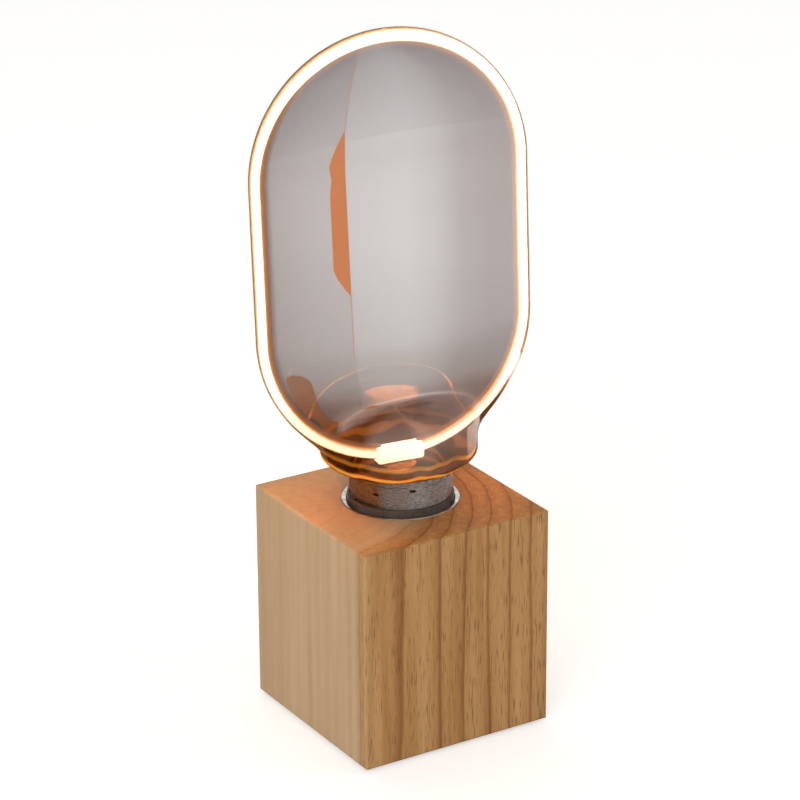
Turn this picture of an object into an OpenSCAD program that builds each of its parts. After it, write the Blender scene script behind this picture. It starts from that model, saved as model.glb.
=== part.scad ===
// Bare bulb table lamp: a wooden block with a sunken screw lamp holder, and a flat smoked
// glass bulb lit by one loop that runs round inside its rim.
// Millimetres, +Z up. The origin is the middle of the underside, the face seen widest in
// front is -Y, and the lead leaves through the back face, +Y.

/* [Block] */
// Width and depth of the wooden block
block_w = 55; // [52:0.5:75]
// Height of the wooden block, without the pads under it
block_h = 59.2; // [55:0.2:80]
// Rounding along every edge of the block
edge_r = 0.9; // [0.5:0.1:2.5]
// Radius of the wiring chamber cut into the underside
chamber_r = 17; // [16:0.5:18]
// Height of the wiring chamber, above the block's underside
chamber_h = 18; // [16:0.5:20]

/* [Underside] */
// Thickness of the felt pads that the lamp stands on
pad_t = 0.8; // [0.5:0.1:2]
// Radius of the middle pad
pad_r = 14; // [10:0.5:16]
// Radius of each corner pad
corner_pad_r = 3.6; // [3:0.1:4.2]
// Gap from a corner pad to the block's side
corner_pad_inset = 2.4; // [1.5:0.1:3.5]
// Radius of the chamber cover
cover_r = 22.5; // [22:0.1:23.5]
// Thickness of the chamber cover
cover_t = 2; // [1.5:0.1:3]
// Height of the rib that centres the cover in the chamber
cover_rib_h = 1.5; // [1:0.1:3]
// Thickness of the rib
cover_rib_t = 1.2; // [1:0.1:2]
// Gap round the cover and its rib
cover_gap = 0.15; // [0.1:0.05:0.3]
// Distance of the cover screws from the middle
cover_screw_place = 19.7; // [19.4:0.1:20]
// Shank radius of the cover screws
cover_screw_r = 1.2; // [1:0.05:1.4]
// Length of the cover screws
cover_screw_l = 10; // [7:0.5:14]
// Height of the cover screws' countersunk heads
screw_head_h = 1.2; // [1:0.1:1.6]
// Width of the cross slot in the heads
cross_w = 0.5; // [0.4:0.05:0.6]

/* [Lead outlet] */
// Height of the outlet's middle above the underside
outlet_z = 10; // [8.6:0.1:11.5]
// Radius of the bush's bore, which takes the lead
outlet_bore_r = 3.2; // [2.5:0.1:3.6]
// Wall of the bush where it passes through the wood
bush_wall = 1.2; // [0.8:0.1:1.6]
// Thickness of the bush's outer flange
bush_flange_t = 1.6; // [1:0.1:2.5]
// How far the flange reaches past the bush's shank
bush_flange_w = 1.8; // [1.2:0.1:2.5]

/* [Screw cap] */
// Crest radius of the cap's screw
screw_r = 13.1; // [12.9:0.05:13.4]
// Whole height of the cap, from its rim to the tip of its contact
cap_h = 26.5; // [25:0.5:28]
// How far the cap's rim stands above the block
cap_stand = 9.8; // [8:0.1:11]
// Height of the plain skirt above the screw
skirt_h = 7.2; // [6:0.1:7.8]
// Wall of the cap's sheet metal
cap_t = 0.35; // [0.25:0.05:0.5]
// Radius of the opening in the cap's end that holds the insulator
tip_r = 9.5; // [9:0.1:10.5]
// Radius of the cap's end contact
end_contact_r = 4.8; // [4:0.1:5.5]
// Height of the cap's end contact below the insulator
end_contact_h = 1.1; // [0.8:0.1:1.5]
// Thickness of the end contact under its wire
solder_h = 0.7; // [0.4:0.1:1]
// Shank radius of the end contact
end_shank_r = 1.5; // [1.2:0.1:2]
// Depth of the conical end of the insulator below the cap
insulator_h = 1.2; // [0.8:0.1:1.8]
// Height of the insulator inside the cap
plug_h = 1.4; // [1:0.1:2]
// How far the cap's plain skirt is wider than its screw
skirt_step = 0.15; // [0.1:0.05:0.3]
// Radius of the round at the cap's rim
rim_round = 1.1; // [0.8:0.1:1.2]
// Width and depth of the groove rolled under the rim
groove = 0.2; // [0.1:0.05:0.3]
// Gap between cemented, soldered or sealed parts
cement_gap = 0.02; // [0.01:0.01:0.05]

/* [Lamp holder] */
// Radial running gap between the cap's screw and the holder's screw shell
screw_gap = 0.06; // [0.03:0.01:0.09]
// Radial gap between the holder's nested parts, and in their holes
seat_gap = 0.05; // [0.03:0.01:0.1]
// Wall of the screw shell
shell_t = 0.4; // [0.3:0.05:0.6]
// Wall of the insulating sleeve
sleeve_t = 1.25; // [1:0.05:1.5]
// Wall of the metal cup that lines the well
cup_t = 0.35; // [0.3:0.05:0.5]
// How far the cup's rim stands above the block
rim_proud = 0.3; // [0.1:0.1:1]
// Depth of the sleeve's shoulder below the top of the block
sleeve_sink = 2.6; // [2:0.1:4]
// Wall of the collar that the sleeve has round the cap's first thread
collar_t = 0.6; // [0.5:0.05:0.9]
// Radial running gap between the collar and the cap's screw
collar_gap = 0.08; // [0.05:0.01:0.1]
// Gap from the collar's edge up to the cap's skirt
skirt_gap = 0.6; // [0.3:0.1:1.5]
// Thickness of the disc that carries the contacts
carrier_t = 4; // [3:0.1:5]
// Height of the holder's lower dome
dome_h = 10; // [9:0.5:12]
// Thickness of the dome's floor, which screws onto the nipple
dome_floor_t = 2.5; // [2:0.1:3]
// Wall of the dome
dome_wall = 1.3; // [1:0.1:2]
// Thickness of the cup's floor
cup_floor_t = 1; // [0.8:0.1:1.5]

/* [Contacts] */
// Height of the room above the carrier for the sprung contact
contact_rise = 1.3; // [1.2:0.05:1.6]
// Thickness of the contact springs' sheet
leaf_t = 0.3; // [0.2:0.05:0.4]
// Width of the sprung contact
leaf_w = 4; // [3:0.1:4.5]
// Distance from the sprung contact's root to the holder's axis
leaf_reach = 6.2; // [5.5:0.1:6.5]
// Slope of the sprung contact with the bulb screwed home
leaf_slope = 3.6; // [2:0.1:4.5]
// Length of the sprung contact past the holder's axis
leaf_past = 2.2; // [1.8:0.1:3]
// Depth of the pit in the carrier that the sprung contact bends into
pit_h = 1.1; // [0.8:0.1:1.5]
// Radius of the sprung contact's button
button_r = 1.5; // [1.2:0.1:2]
// Gap round the rivets' heads
head_gap = 0.25; // [0.1:0.05:0.3]
// Shank radius of the rivets
rivet_r = 0.8; // [0.6:0.05:1]
// Height of the rivets' heads
rivet_head_h = 0.4; // [0.3:0.05:0.6]
// Depth of the rivets' ends in the terminal blocks
rivet_in = 1.2; // [0.8:0.1:1.6]
// Width of a terminal block, across the holder
terminal_w = 4; // [3.4:0.1:4.4]
// Length of a terminal block, along its screw
terminal_l = 6; // [5:0.1:6.5]
// Height of a terminal block
terminal_h = 5.4; // [4.5:0.1:6]
// Distance of each terminal block's middle from its rivet
terminal_shift = 0.9; // [0.8:0.1:1.1]
// Radius of the terminal screws
terminal_screw_r = 1.2; // [1:0.05:1.3]
// Height of the terminal screws above the bottom of their blocks
terminal_screw_z = 2.1; // [1.8:0.1:2.6]

/* [Nipple] */
// Outer radius of the threaded nipple
nipple_r = 5; // [4:0.1:5.5]
// Bore radius of the nipple, for the lead's cores
nipple_bore_r = 3.7; // [3:0.1:3.8]
// Thickness of the nut
nut_t = 3; // [2.5:0.1:4]
// Width across the nut's flats
nut_flats = 14; // [13:0.5:16]
// Radius of the washer under the nut
washer_r = 9; // [8.5:0.1:12]
// Thickness of the washer
washer_t = 1; // [0.6:0.1:1.6]
// Gap round the nipple in the wood and the washer
nipple_gap = 0.3; // [0.1:0.05:0.5]
// Length of the nipple that stands out below the nut
nipple_out = 1; // [0.5:0.5:3]

/* [Bulb glass] */
// Half the width of the flat bulb
glass_half_w = 36.7; // [34:0.1:42]
// Half the thickness of the flat bulb
glass_half_d = 13; // [9:0.5:17]
// Length of the straight sides between the round ends
glass_straight = 40; // [30:0.2:60]
// Height of the flat body's round lower end above the cap's rim
body_rise = 1.4; // [1:0.1:5]
// Radius of the round bowl at the bulb's foot
bowl_r = 20.2; // [18:0.1:21]
// Height of the bowl's flared underside
flare_h = 5.2; // [4:0.1:6.5]
// Height of the bowl's straight side
bowl_side_h = 7; // [4:0.5:10]
// Height over which the top of the bowl runs into the flat body
bowl_dome_h = 11; // [8:0.5:16]
// Outer radius of the neck that is cemented into the cap
neck_r = 11.8; // [11:0.1:12]
// Height of the start of the flare above the cap's rim
glass_seat = 0.3; // [0.2:0.1:1]
// Depth of the neck inside the cap
neck_in = 6; // [4.5:0.1:6.5]
// Height of the glass foot that closes the neck
stem_h = 6; // [5:0.5:7]
// Thickness of the glass foot
stem_t = 0.9; // [0.7:0.1:1.2]
// Radius of the pinched top of the glass foot
pinch_r = 4.4; // [4:0.1:5]
// Thickness of the glass
glass_t = 0.5; // [0.4:0.05:0.9]
// Turn of the flat bulb about the lamp's axis, with the bulb screwed home
face_turn = -10.7; // [-45:0.1:45]
// Lean of the glass in its own plane, as it was cemented
glass_lean = 1.6; // [0:0.1:2.5]

/* [Light loop] */
// Radius of the light tube
tube_r = 1.4; // [0.8:0.05:1.5]
// Gap between the light tube and the glass
tube_gap = 0.2; // [0.1:0.05:0.5]
// Length of the end block that joins both ends of the loop
end_block_l = 12.6; // [10:0.2:16]
// Height of the end block
end_block_h = 4.2; // [3.6:0.1:5]
// Thickness of the end block
end_block_t = 3.8; // [3.4:0.1:5]
// How far each end of the tube reaches into the block
tube_in = 1.5; // [0.8:0.1:2.5]
// Radius of the support wires
wire_r = 0.35; // [0.2:0.05:0.5]
// Half the distance between the support wires
wire_x = 3; // [2.4:0.1:3.2]

/* [Driver] */
// Width of the driver's circuit board
board_w = 14; // [12:0.5:16]
// Height of the driver's circuit board
board_h = 11.6; // [11:0.1:12]
// Thickness of the circuit board
board_t = 1; // [0.6:0.1:1.6]
// Radius of the smoothing capacitor
capacitor_r = 2.4; // [2:0.1:2.6]
// Length of the smoothing capacitor
capacitor_l = 8; // [6:0.5:9]
// Radius of the coil's flanges
coil_r = 2.6; // [2:0.1:2.8]
// Length of the coil
coil_l = 5; // [4:0.5:7]

/* [Hidden] */
$fn = 96;
EPS = 0.01;

wood = "#B98F63";
nickel = "#C9C9C6";
steel = "#A7A9AC";
brass = "#C9A44C";
phenolic = "#2B2724";
ceramic = "#E6E1D6";
felt = "#3A3735";
black_nylon = "#1E1E20";
smoked_glass = [0.45, 0.41, 0.39, 0.4];
clear_glass = [0.8, 0.85, 0.86, 0.5];
amber_silicone = "#FFC46B";
board_green = "#2E6B46";

// --- Heights, from the underside up ---
block_bottom = pad_t;
top = block_bottom + block_h;
chamber_top = block_bottom + chamber_h;
cap_rim_z = top + cap_stand;
contact_z = cap_rim_z - cap_h;
carrier_top = contact_z - contact_rise;
carrier_bottom = carrier_top - carrier_t;
dome_bottom = carrier_bottom - dome_h;
well_floor = dome_bottom - cup_floor_t;
sleeve_top = top - sleeve_sink;
shell_top = sleeve_top - shell_t;
collar_top = cap_rim_z - skirt_h - skirt_gap;
leaf_root_z = carrier_top + leaf_t;

// --- Radii of the nested lamp holder, from the cap's screw outwards ---
shell_in_r = screw_r + screw_gap;
shell_out_r = shell_in_r + shell_t;
sleeve_in_r = shell_out_r + seat_gap;
sleeve_out_r = sleeve_in_r + sleeve_t;
collar_r = screw_r + collar_gap + collar_t;
cup_in_r = sleeve_out_r + seat_gap;
cup_out_r = cup_in_r + cup_t;
skirt_r = screw_r + skirt_step;
well_r = cup_out_r + seat_gap;
bush_r = outlet_bore_r + bush_wall;
rivet_head_r = 1.6 * rivet_r;
neutral_x = shell_in_r - rivet_head_r - head_gap;
live_x = leaf_reach + leaf_t + rivet_head_r + head_gap;
shell_foot_r = neutral_x - rivet_head_r - seat_gap;
corner_pad_at = block_w / 2 - corner_pad_inset - corner_pad_r;

// --- The bulb's outline, in heights above the block along its own axis ---
flare_from = cap_stand + glass_seat;
low_middle = cap_stand + body_rise + glass_half_w;
high_middle = low_middle + glass_straight;
dome_from = flare_from + flare_h + bowl_side_h;
loop_r = glass_half_w - glass_t - tube_gap - tube_r;
around = 52;
flare_steps = 5;
dome_steps = 17;
shoulder_steps = 5;
crown_steps = 9;
notch_power = 9;

// --- Driver, in heights from the top of the block ---
board_top = -0.6;
board_bottom = board_top - board_h;

// --- Helpers ---

// Points of a rectangle whose corners are rounded with short chords
function rounded_rectangle(w, h, r, steps = 4) = [
    for (corner = [0:3], i = [0:steps])
        let (a = 90 * corner + 90 * i / steps,
             sx = (corner == 0 || corner == 3) ? 1 : -1,
             sy = corner < 2 ? 1 : -1)
        [sx * (w / 2 - r) + r * cos(a), sy * (h / 2 - r) + r * sin(a)]
];

module tube(r_out, r_in, h) {
    difference() {
        cylinder(r = r_out, h = h);
        translate([0, 0, -1]) cylinder(r = r_in, h = h + 2);
    }
}

// Places children on the cap's own axis, turned as the bulb faces, with z = 0 at the block's top
module on_cap() {
    translate([0, 0, top]) rotate([0, 0, face_turn]) children();
}

// Places children on the glass's own leaning axis
module on_glass() {
    on_cap() rotate([0, -glass_lean, 0]) children();
}

module at_cover_screws() {
    for (a = [30, 150, 270]) rotate([0, 0, a]) translate([cover_screw_place, 0, 0]) children();
}

// --- Block and underside ---

module rounded_block() {
    intersection() {
        linear_extrude(block_h, center = true) polygon(rounded_rectangle(block_w, block_w, edge_r));
        rotate([90, 0, 0]) linear_extrude(block_w, center = true)
            polygon(rounded_rectangle(block_w, block_h, edge_r));
        rotate([0, 90, 0]) linear_extrude(block_w, center = true)
            polygon(rounded_rectangle(block_h, block_w, edge_r));
    }
}

module wood_block() {
    color(wood) difference() {
        translate([0, 0, block_bottom + block_h / 2]) rounded_block();
        translate([0, 0, well_floor]) cylinder(r = well_r, h = top);
        translate([0, 0, block_bottom - 1]) cylinder(r = nipple_r + nipple_gap, h = top);
        translate([0, 0, block_bottom - 1]) cylinder(r = chamber_r, h = chamber_h + 1);
        translate([0, 0, block_bottom - 1]) cylinder(r = cover_r + cover_gap, h = cover_t + 1);
        translate([0, chamber_r / 2, outlet_z]) rotate([-90, 0, 0])
            cylinder(r = bush_r + seat_gap, h = block_w);
        at_cover_screws() translate([0, 0, block_bottom])
            cylinder(r = cover_screw_r + cement_gap, h = cover_screw_l + 1);
    }
}

module base_cover() {
    rib_r = chamber_r - cover_gap;
    hole_r = cover_screw_r + 0.2;
    color(black_nylon) difference() {
        translate([0, 0, block_bottom]) union() {
            cylinder(r = cover_r, h = cover_t);
            translate([0, 0, cover_t - EPS]) tube(rib_r, rib_r - cover_rib_t, cover_rib_h + EPS);
        }
        at_cover_screws() translate([0, 0, block_bottom]) {
            translate([0, 0, -1]) cylinder(r = hole_r, h = cover_t + 2);
            translate([0, 0, -EPS])
                cylinder(r1 = hole_r + screw_head_h, r2 = hole_r, h = screw_head_h + EPS);
        }
    }
}

module cover_screws() {
    cross_l = 2.2 * cover_screw_r;
    color(steel) at_cover_screws() translate([0, 0, block_bottom]) difference() {
        union() {
            cylinder(r1 = cover_screw_r + screw_head_h, r2 = cover_screw_r, h = screw_head_h);
            cylinder(r = cover_screw_r, h = cover_screw_l - cover_screw_r);
            translate([0, 0, cover_screw_l - cover_screw_r])
                cylinder(r1 = cover_screw_r, r2 = 0.2, h = cover_screw_r);
        }
        for (a = [0, 90]) rotate([0, 0, a]) translate([-cross_l / 2, -cross_w / 2, -1])
            cube([cross_l, cross_w, 1 + screw_head_h / 2]);
    }
}

module felt_pads() {
    color(felt) {
        cylinder(r = pad_r, h = pad_t);
        for (x = [-1, 1], y = [-1, 1]) translate([x * corner_pad_at, y * corner_pad_at, 0])
            cylinder(r = corner_pad_r, h = pad_t);
    }
}

// Bush in the back of the block, revolved about the lead's line
module outlet_bush() {
    flange_r = bush_r + bush_flange_w;
    shank_l = block_w / 2 - chamber_r;
    round_r = bush_flange_t * 0.6;
    color(black_nylon) translate([0, block_w / 2, outlet_z]) rotate([-90, 0, 0]) rotate_extrude()
        polygon([
            [outlet_bore_r, -shank_l], [bush_r, -shank_l], [bush_r, 0], [flange_r, 0],
            for (a = [0:15:90])
                [flange_r - round_r + round_r * cos(a), bush_flange_t - round_r + round_r * sin(a)],
            [outlet_bore_r, bush_flange_t],
        ]);
}

// --- Lamp holder ---

module socket_cup() {
    lip = cup_t / 2;
    color(nickel) translate([0, 0, well_floor]) rotate_extrude() polygon([
        [nipple_r + seat_gap, 0], [cup_out_r, 0], [cup_out_r, top + rim_proud - lip - well_floor],
        [cup_out_r - lip * 0.3, top + rim_proud - lip * 0.3 - well_floor],
        [cup_out_r - lip, top + rim_proud - well_floor],
        [cup_in_r, top - 2 * lip - well_floor], [cup_in_r, cup_floor_t],
        [nipple_r + seat_gap, cup_floor_t],
    ]);
}

// Lower half of the holder, with a collar that screws onto the nipple
module holder_dome() {
    inner_r = sleeve_out_r - dome_wall;
    color(phenolic) translate([0, 0, dome_bottom]) rotate_extrude() polygon([
        [nipple_r + seat_gap, 0], [sleeve_out_r - 1, 0], [sleeve_out_r, 1], [sleeve_out_r, dome_h],
        [inner_r, dome_h], [inner_r, dome_floor_t], [nipple_r + seat_gap, dome_floor_t],
    ]);
}

// Upper half of the holder, a sleeve round the screw shell with a narrow collar above it
module holder_sleeve() {
    collar_in_r = screw_r + collar_gap;
    round_r = collar_t * 0.6;
    color(phenolic) rotate_extrude() polygon([
        [sleeve_in_r, carrier_top], [sleeve_out_r, carrier_top], [sleeve_out_r, sleeve_top],
        [collar_r, sleeve_top],
        for (a = [0:22.5:90])
            [collar_r - round_r + round_r * cos(a), collar_top - round_r + round_r * sin(a)],
        [collar_in_r, collar_top], [collar_in_r, shell_top + seat_gap],
        [sleeve_in_r, shell_top + seat_gap],
    ]);
}

module contact_carrier() {
    pit_w = leaf_w + 1;
    pit_from = leaf_reach - 0.8;
    pit_past = leaf_past + 1.8;
    core_hole_r = 1.6;
    core_hole_y = 7.5;
    color(ceramic) difference() {
        translate([0, 0, carrier_bottom]) cylinder(r = sleeve_out_r, h = carrier_t);
        translate([-pit_from, -pit_w / 2, carrier_top - pit_h])
            cube([pit_from + pit_past, pit_w, pit_h + 1]);
        for (x = [-live_x, neutral_x]) translate([x, 0, carrier_bottom - 1])
            cylinder(r = rivet_r + seat_gap, h = carrier_t + 2);
        for (side = [-1, 1]) translate([0, side * core_hole_y, carrier_bottom - 1])
            cylinder(r = core_hole_r, h = carrier_t + 2);
    }
}

// Screw shell of the holder: a metal tube with an inward foot that stands on the carrier
module screw_shell() {
    flare = shell_t * 0.6;
    color(brass) difference() {
        translate([0, 0, carrier_top]) rotate_extrude() polygon([
            [shell_foot_r, 0], [shell_out_r, 0], [shell_out_r, shell_top - carrier_top],
            [shell_in_r + flare, shell_top - carrier_top],
            [shell_in_r, shell_top - carrier_top - 3 * flare],
            [shell_in_r, shell_t], [shell_foot_r, shell_t],
        ]);
        translate([neutral_x, 0, carrier_top - 1]) cylinder(r = rivet_r + seat_gap, h = 2);
    }
}

// One rivet from its flat head on top of a sheet down into a terminal block
module rivet(x, sheet) {
    translate([x, 0, carrier_bottom - rivet_in])
        cylinder(r = rivet_r, h = rivet_in + carrier_t + sheet + rivet_head_h);
    translate([x, 0, carrier_top + sheet]) cylinder(r = rivet_head_r, h = rivet_head_h);
}

module shell_rivet() {
    color(brass) rivet(neutral_x, shell_t);
}

module contact_rivet() {
    color(brass) rivet(-live_x, leaf_t);
}

module contact_foot() {
    root = -leaf_reach - leaf_t;
    outer = -live_x - rivet_head_r;
    color(brass) difference() {
        translate([outer, -leaf_w / 2, carrier_top]) cube([root - outer, leaf_w, leaf_t]);
        translate([-live_x, 0, carrier_top - 1]) cylinder(r = rivet_r + seat_gap, h = 2);
    }
}

// Sprung contact: a sloping leaf with a curled root and a raised button under the bulb's tip
module contact_leaf() {
    button_z = leaf_root_z + leaf_reach * tan(leaf_slope);
    button_h = contact_z - seat_gap - button_z;
    color(brass) {
        translate([-leaf_reach, 0, leaf_root_z]) {
            rotate([90, 0, 0]) cylinder(r = leaf_t / 2, h = leaf_w, center = true);
            rotate([0, -leaf_slope, 0]) translate([0, -leaf_w / 2, -leaf_t / 2])
                cube([leaf_reach + leaf_past, leaf_w, leaf_t]);
        }
        translate([0, 0, button_z]) cylinder(r1 = button_r, r2 = button_r - 0.4, h = button_h);
    }
}

module at_terminals() {
    for (x = [-live_x - terminal_shift, neutral_x - terminal_shift])
        translate([x, 0, carrier_bottom - terminal_h]) children();
}

module terminal_blocks() {
    core_r = 1.1;
    color(brass) difference() {
        at_terminals() difference() {
            translate([-terminal_w / 2, -terminal_l / 2, 0]) cube([terminal_w, terminal_l, terminal_h]);
            translate([0, 0, -1]) cylinder(r = core_r, h = terminal_h - rivet_in);
            translate([0, 0, terminal_screw_z]) rotate([-90, 0, 0])
                cylinder(r = terminal_screw_r + seat_gap, h = terminal_l);
        }
        for (x = [-live_x, neutral_x]) translate([x, 0, carrier_bottom - rivet_in - seat_gap])
            cylinder(r = rivet_r + seat_gap, h = 2);
    }
}

module terminal_screws() {
    from_y = 1.2;
    slot_w = 0.4;
    color(steel) at_terminals() translate([0, from_y, terminal_screw_z]) difference() {
        rotate([-90, 0, 0]) cylinder(r = terminal_screw_r, h = terminal_l / 2);
        translate([-2, terminal_l / 2 - terminal_screw_r / 2, -slot_w / 2]) cube([4, 1, slot_w]);
    }
}

module threaded_nipple() {
    low = chamber_top - washer_t - nut_t - nipple_out;
    color(steel) translate([0, 0, low])
        tube(nipple_r, nipple_bore_r, dome_bottom + dome_floor_t - low);
}

module nipple_washer() {
    color(steel) translate([0, 0, chamber_top - washer_t])
        tube(washer_r, nipple_r + nipple_gap, washer_t);
}

module nipple_nut() {
    color(steel) translate([0, 0, chamber_top - washer_t - nut_t]) difference() {
        cylinder(r = nut_flats / sqrt(3), h = nut_t, $fn = 6);
        translate([0, 0, -1]) cylinder(r = nipple_r + seat_gap, h = nut_t + 2);
    }
}

// --- Bulb: screw cap ---

// Cap's sheet metal: rounded rim, groove, plain skirt, screw at its crest size, shoulder
module cap_shell() {
    skirt_slope = 0.5;
    shoulder_r = 2;
    end_z = end_contact_h + insulator_h - cap_h;
    rim = [for (a = [75:-15:0])
        [skirt_r - rim_round + rim_round * cos(a), rim_round * (sin(a) - 1)]];
    inner_rim = [for (a = [0:15:75])
        [skirt_r - rim_round + (rim_round - cap_t) * cos(a),
         (rim_round - cap_t) * sin(a) - rim_round]];
    shoulder = [for (a = [0:15:75])
        [screw_r - shoulder_r + shoulder_r * cos(a), end_z + shoulder_r - shoulder_r * sin(a)]];
    inner_shoulder = [for (a = [75:-15:0])
        [screw_r - shoulder_r + (shoulder_r - cap_t) * cos(a),
         end_z + shoulder_r - (shoulder_r - cap_t) * sin(a)]];
    color(nickel) translate([0, 0, cap_rim_z]) rotate_extrude() polygon([
        each rim,
        [skirt_r, -rim_round - groove], [skirt_r - groove, -rim_round - 2 * groove],
        [skirt_r, -rim_round - 3 * groove],
        [skirt_r, skirt_slope - skirt_h], [screw_r, -skirt_h],
        each shoulder,
        [tip_r, end_z], [tip_r, end_z + cap_t],
        each inner_shoulder,
        [screw_r - cap_t, -skirt_h], [skirt_r - cap_t, skirt_slope - skirt_h],
        [skirt_r - cap_t, -rim_round - 3 * groove],
        [skirt_r - cap_t - groove, -rim_round - 2 * groove],
        [skirt_r - cap_t, -rim_round - groove],
        each inner_rim,
    ]);
}

module cap_insulator() {
    plug_r = tip_r - seat_gap;
    color(phenolic) translate([0, 0, contact_z + end_contact_h]) difference() {
        union() {
            cylinder(r1 = (end_contact_r + plug_r) / 2, r2 = plug_r, h = insulator_h);
            translate([0, 0, insulator_h]) cylinder(r = plug_r, h = plug_h);
        }
        translate([0, 0, -1]) cylinder(r = end_shank_r + seat_gap, h = insulator_h + plug_h + 2);
    }
}

module cap_contact() {
    dish_h = 0.8;
    color(brass) translate([0, 0, contact_z]) difference() {
        union() {
            cylinder(r1 = end_contact_r - dish_h, r2 = end_contact_r, h = dish_h);
            translate([0, 0, dish_h]) cylinder(r = end_contact_r, h = end_contact_h - dish_h);
            cylinder(r = end_shank_r, h = end_contact_h + insulator_h + plug_h);
        }
        translate([0, 0, solder_h]) cylinder(r = wire_r + seat_gap, h = cap_h / 2);
    }
}

// Cement between the glass neck and the cap
module cap_cement() {
    cement_top = cap_rim_z - rim_round - 3 * groove;
    cement_h = neck_in / 2;
    color(ceramic) difference() {
        translate([0, 0, cement_top - cement_h])
            cylinder(r = skirt_r - cap_t - cement_gap, h = cement_h);
        on_glass() cylinder(r = neck_r + cement_gap, h = 2 * cap_stand);
    }
}

// --- Bulb: glass, loop and supports ---

// Each of these takes a height above the block and how far the surface lies inside the
// outer skin of the glass.

// Radius of the round foot: neck, flare, bowl and the bowl's domed top
function foot_radius(s, t) =
    let (flare = min(1, max(0, (s - flare_from - t) / flare_h)),
         dome = min(1, max(0, (s - dome_from) / bowl_dome_h)))
    (neck_r - t + (bowl_r - neck_r) * sqrt(1 - pow(1 - flare, 2))) * sqrt(1 - dome * dome);

// Share of the flat body's full size at a height below, beside or above the straight sides
function body_share(s, t) =
    let (off = s < low_middle ? low_middle - s : s > high_middle ? s - high_middle : 0)
    sqrt(max(0, 1 - pow(off / (glass_half_w - t), 2)));

// One point of the skin: the round foot and the flat body's ellipse, whichever reaches
// further in that direction, with the notch between them smoothed
function skin_point(s, t, turn) =
    let (share = body_share(s, t),
         w = (glass_half_w - t) * share,
         d = (glass_half_d - t) * share,
         narrow = min(1, max(0, (s - flare_from) / (low_middle - flare_from))),
         flat = 1 + (glass_half_d / glass_half_w - 1) * narrow * narrow * (3 - 2 * narrow),
         a = atan2(flat * sin(turn), cos(turn)),
         body = share == 0 ? 0 : w * d / sqrt(pow(d * cos(a), 2) + pow(w * sin(a), 2)),
         r = pow(pow(foot_radius(s, t), notch_power) + pow(body, notch_power), 1 / notch_power))
    [r * cos(a), r * sin(a), s];

// Heights of the rings that carry the skin, closer together where it curves
function ring_heights(t) =
    let (first = flare_from + t, body = glass_half_w - t,
         bowl_from = first + flare_h, bowl_to = dome_from + bowl_dome_h)
    [
        cap_stand - neck_in, first - 0.2,
        for (i = [0:flare_steps]) first + flare_h * (1 - cos(90 * i / flare_steps)),
        for (i = [1:dome_steps]) bowl_from + (bowl_to - bowl_from) * sin(90 * i / dome_steps),
        for (i = [1:shoulder_steps]) bowl_to + (low_middle - bowl_to) * i / shoulder_steps,
        for (i = [1:3]) low_middle + glass_straight * i / 3,
        for (i = [1:crown_steps]) high_middle + body * sin(88 * i / crown_steps),
    ];

function skin(t) = [
    for (s = ring_heights(t), k = [0:around - 1]) skin_point(s, t, 360 * k / around),
    [0, 0, high_middle + glass_half_w - t],
];

// Triangles of one skin, from point number `base`, turned to face out or in
function skin_faces(rings, base, outwards) =
    let (tip = base + rings * around,
         faces = [
             for (i = [0:rings - 2], k = [0:around - 1])
                 let (a = base + i * around + k, b = base + i * around + (k + 1) % around)
                 each [[a, b + around, b], [a, a + around, b + around]],
             for (k = [0:around - 1])
                 let (last = base + (rings - 1) * around)
                 [last + k, tip, last + (k + 1) % around],
         ])
    outwards ? faces : [for (f = faces) [f[0], f[2], f[1]]];

module bulb_glass() {
    outer = skin(0);
    inner = skin(glass_t);
    rings = len(ring_heights(0));
    foot = [
        for (k = [0:around - 1])
            let (next = (k + 1) % around)
            each [[k, next, len(outer) + next], [k, len(outer) + next, len(outer) + k]]
    ];
    color(smoked_glass) on_glass() polyhedron(
        concat(outer, inner),
        concat(skin_faces(rings, 0, true), skin_faces(rings, len(outer), false), foot)
    );
}

// Glass foot that closes the neck, flared at its edge and pinched round the support wires
module glass_stem() {
    foot_r = neck_r - glass_t - seat_gap;
    rise = stem_h - stem_t;
    curve = [for (i = [0:6]) [pinch_r + (foot_r - pinch_r) * pow(1 - i / 6, 3), rise * i / 6]];
    color(clear_glass) on_glass() difference() {
        translate([0, 0, cap_stand - neck_in]) rotate_extrude() polygon([
            for (c = curve) [c[0], c[1] + stem_t], [0, stem_h], [0, rise],
            for (i = [6:-1:0]) [curve[i][0] - 0.7 * stem_t, curve[i][1]], [foot_r, 0],
        ]);
        at_wires() cylinder(r = wire_r + cement_gap, h = 2 * cap_stand);
    }
}

// Sweeps a round section along the loop, leaving a gap at its foot
module loop_path(r, foot_angle) {
    translate([0, 0, high_middle]) rotate([90, 0, 0])
        rotate_extrude(angle = 180) translate([loop_r, 0]) circle(r);
    for (side = [0, 1]) mirror([side, 0, 0]) {
        translate([loop_r, 0, low_middle]) cylinder(r = r, h = glass_straight);
        translate([0, 0, low_middle]) rotate([-90, 0, 0])
            rotate_extrude(angle = 90 - foot_angle) translate([loop_r, 0]) circle(r);
    }
}

module light_loop() {
    color(amber_silicone) on_glass() loop_path(tube_r, asin((end_block_l / 2 - tube_in) / loop_r));
}

module loop_end_block() {
    color(ceramic) on_glass() difference() {
        translate([0, 0, low_middle - loop_r]) rotate([90, 0, 0])
            linear_extrude(end_block_t, center = true)
            polygon(rounded_rectangle(end_block_l, end_block_h, end_block_h / 7, 3));
        loop_path(tube_r + cement_gap, asin((end_block_l / 2 - tube_in - cement_gap) / loop_r));
    }
}

module at_wires() {
    for (side = [-1, 1])
        translate([side * wire_x, board_t / 2 + wire_r + cement_gap, 0]) children();
}

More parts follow.
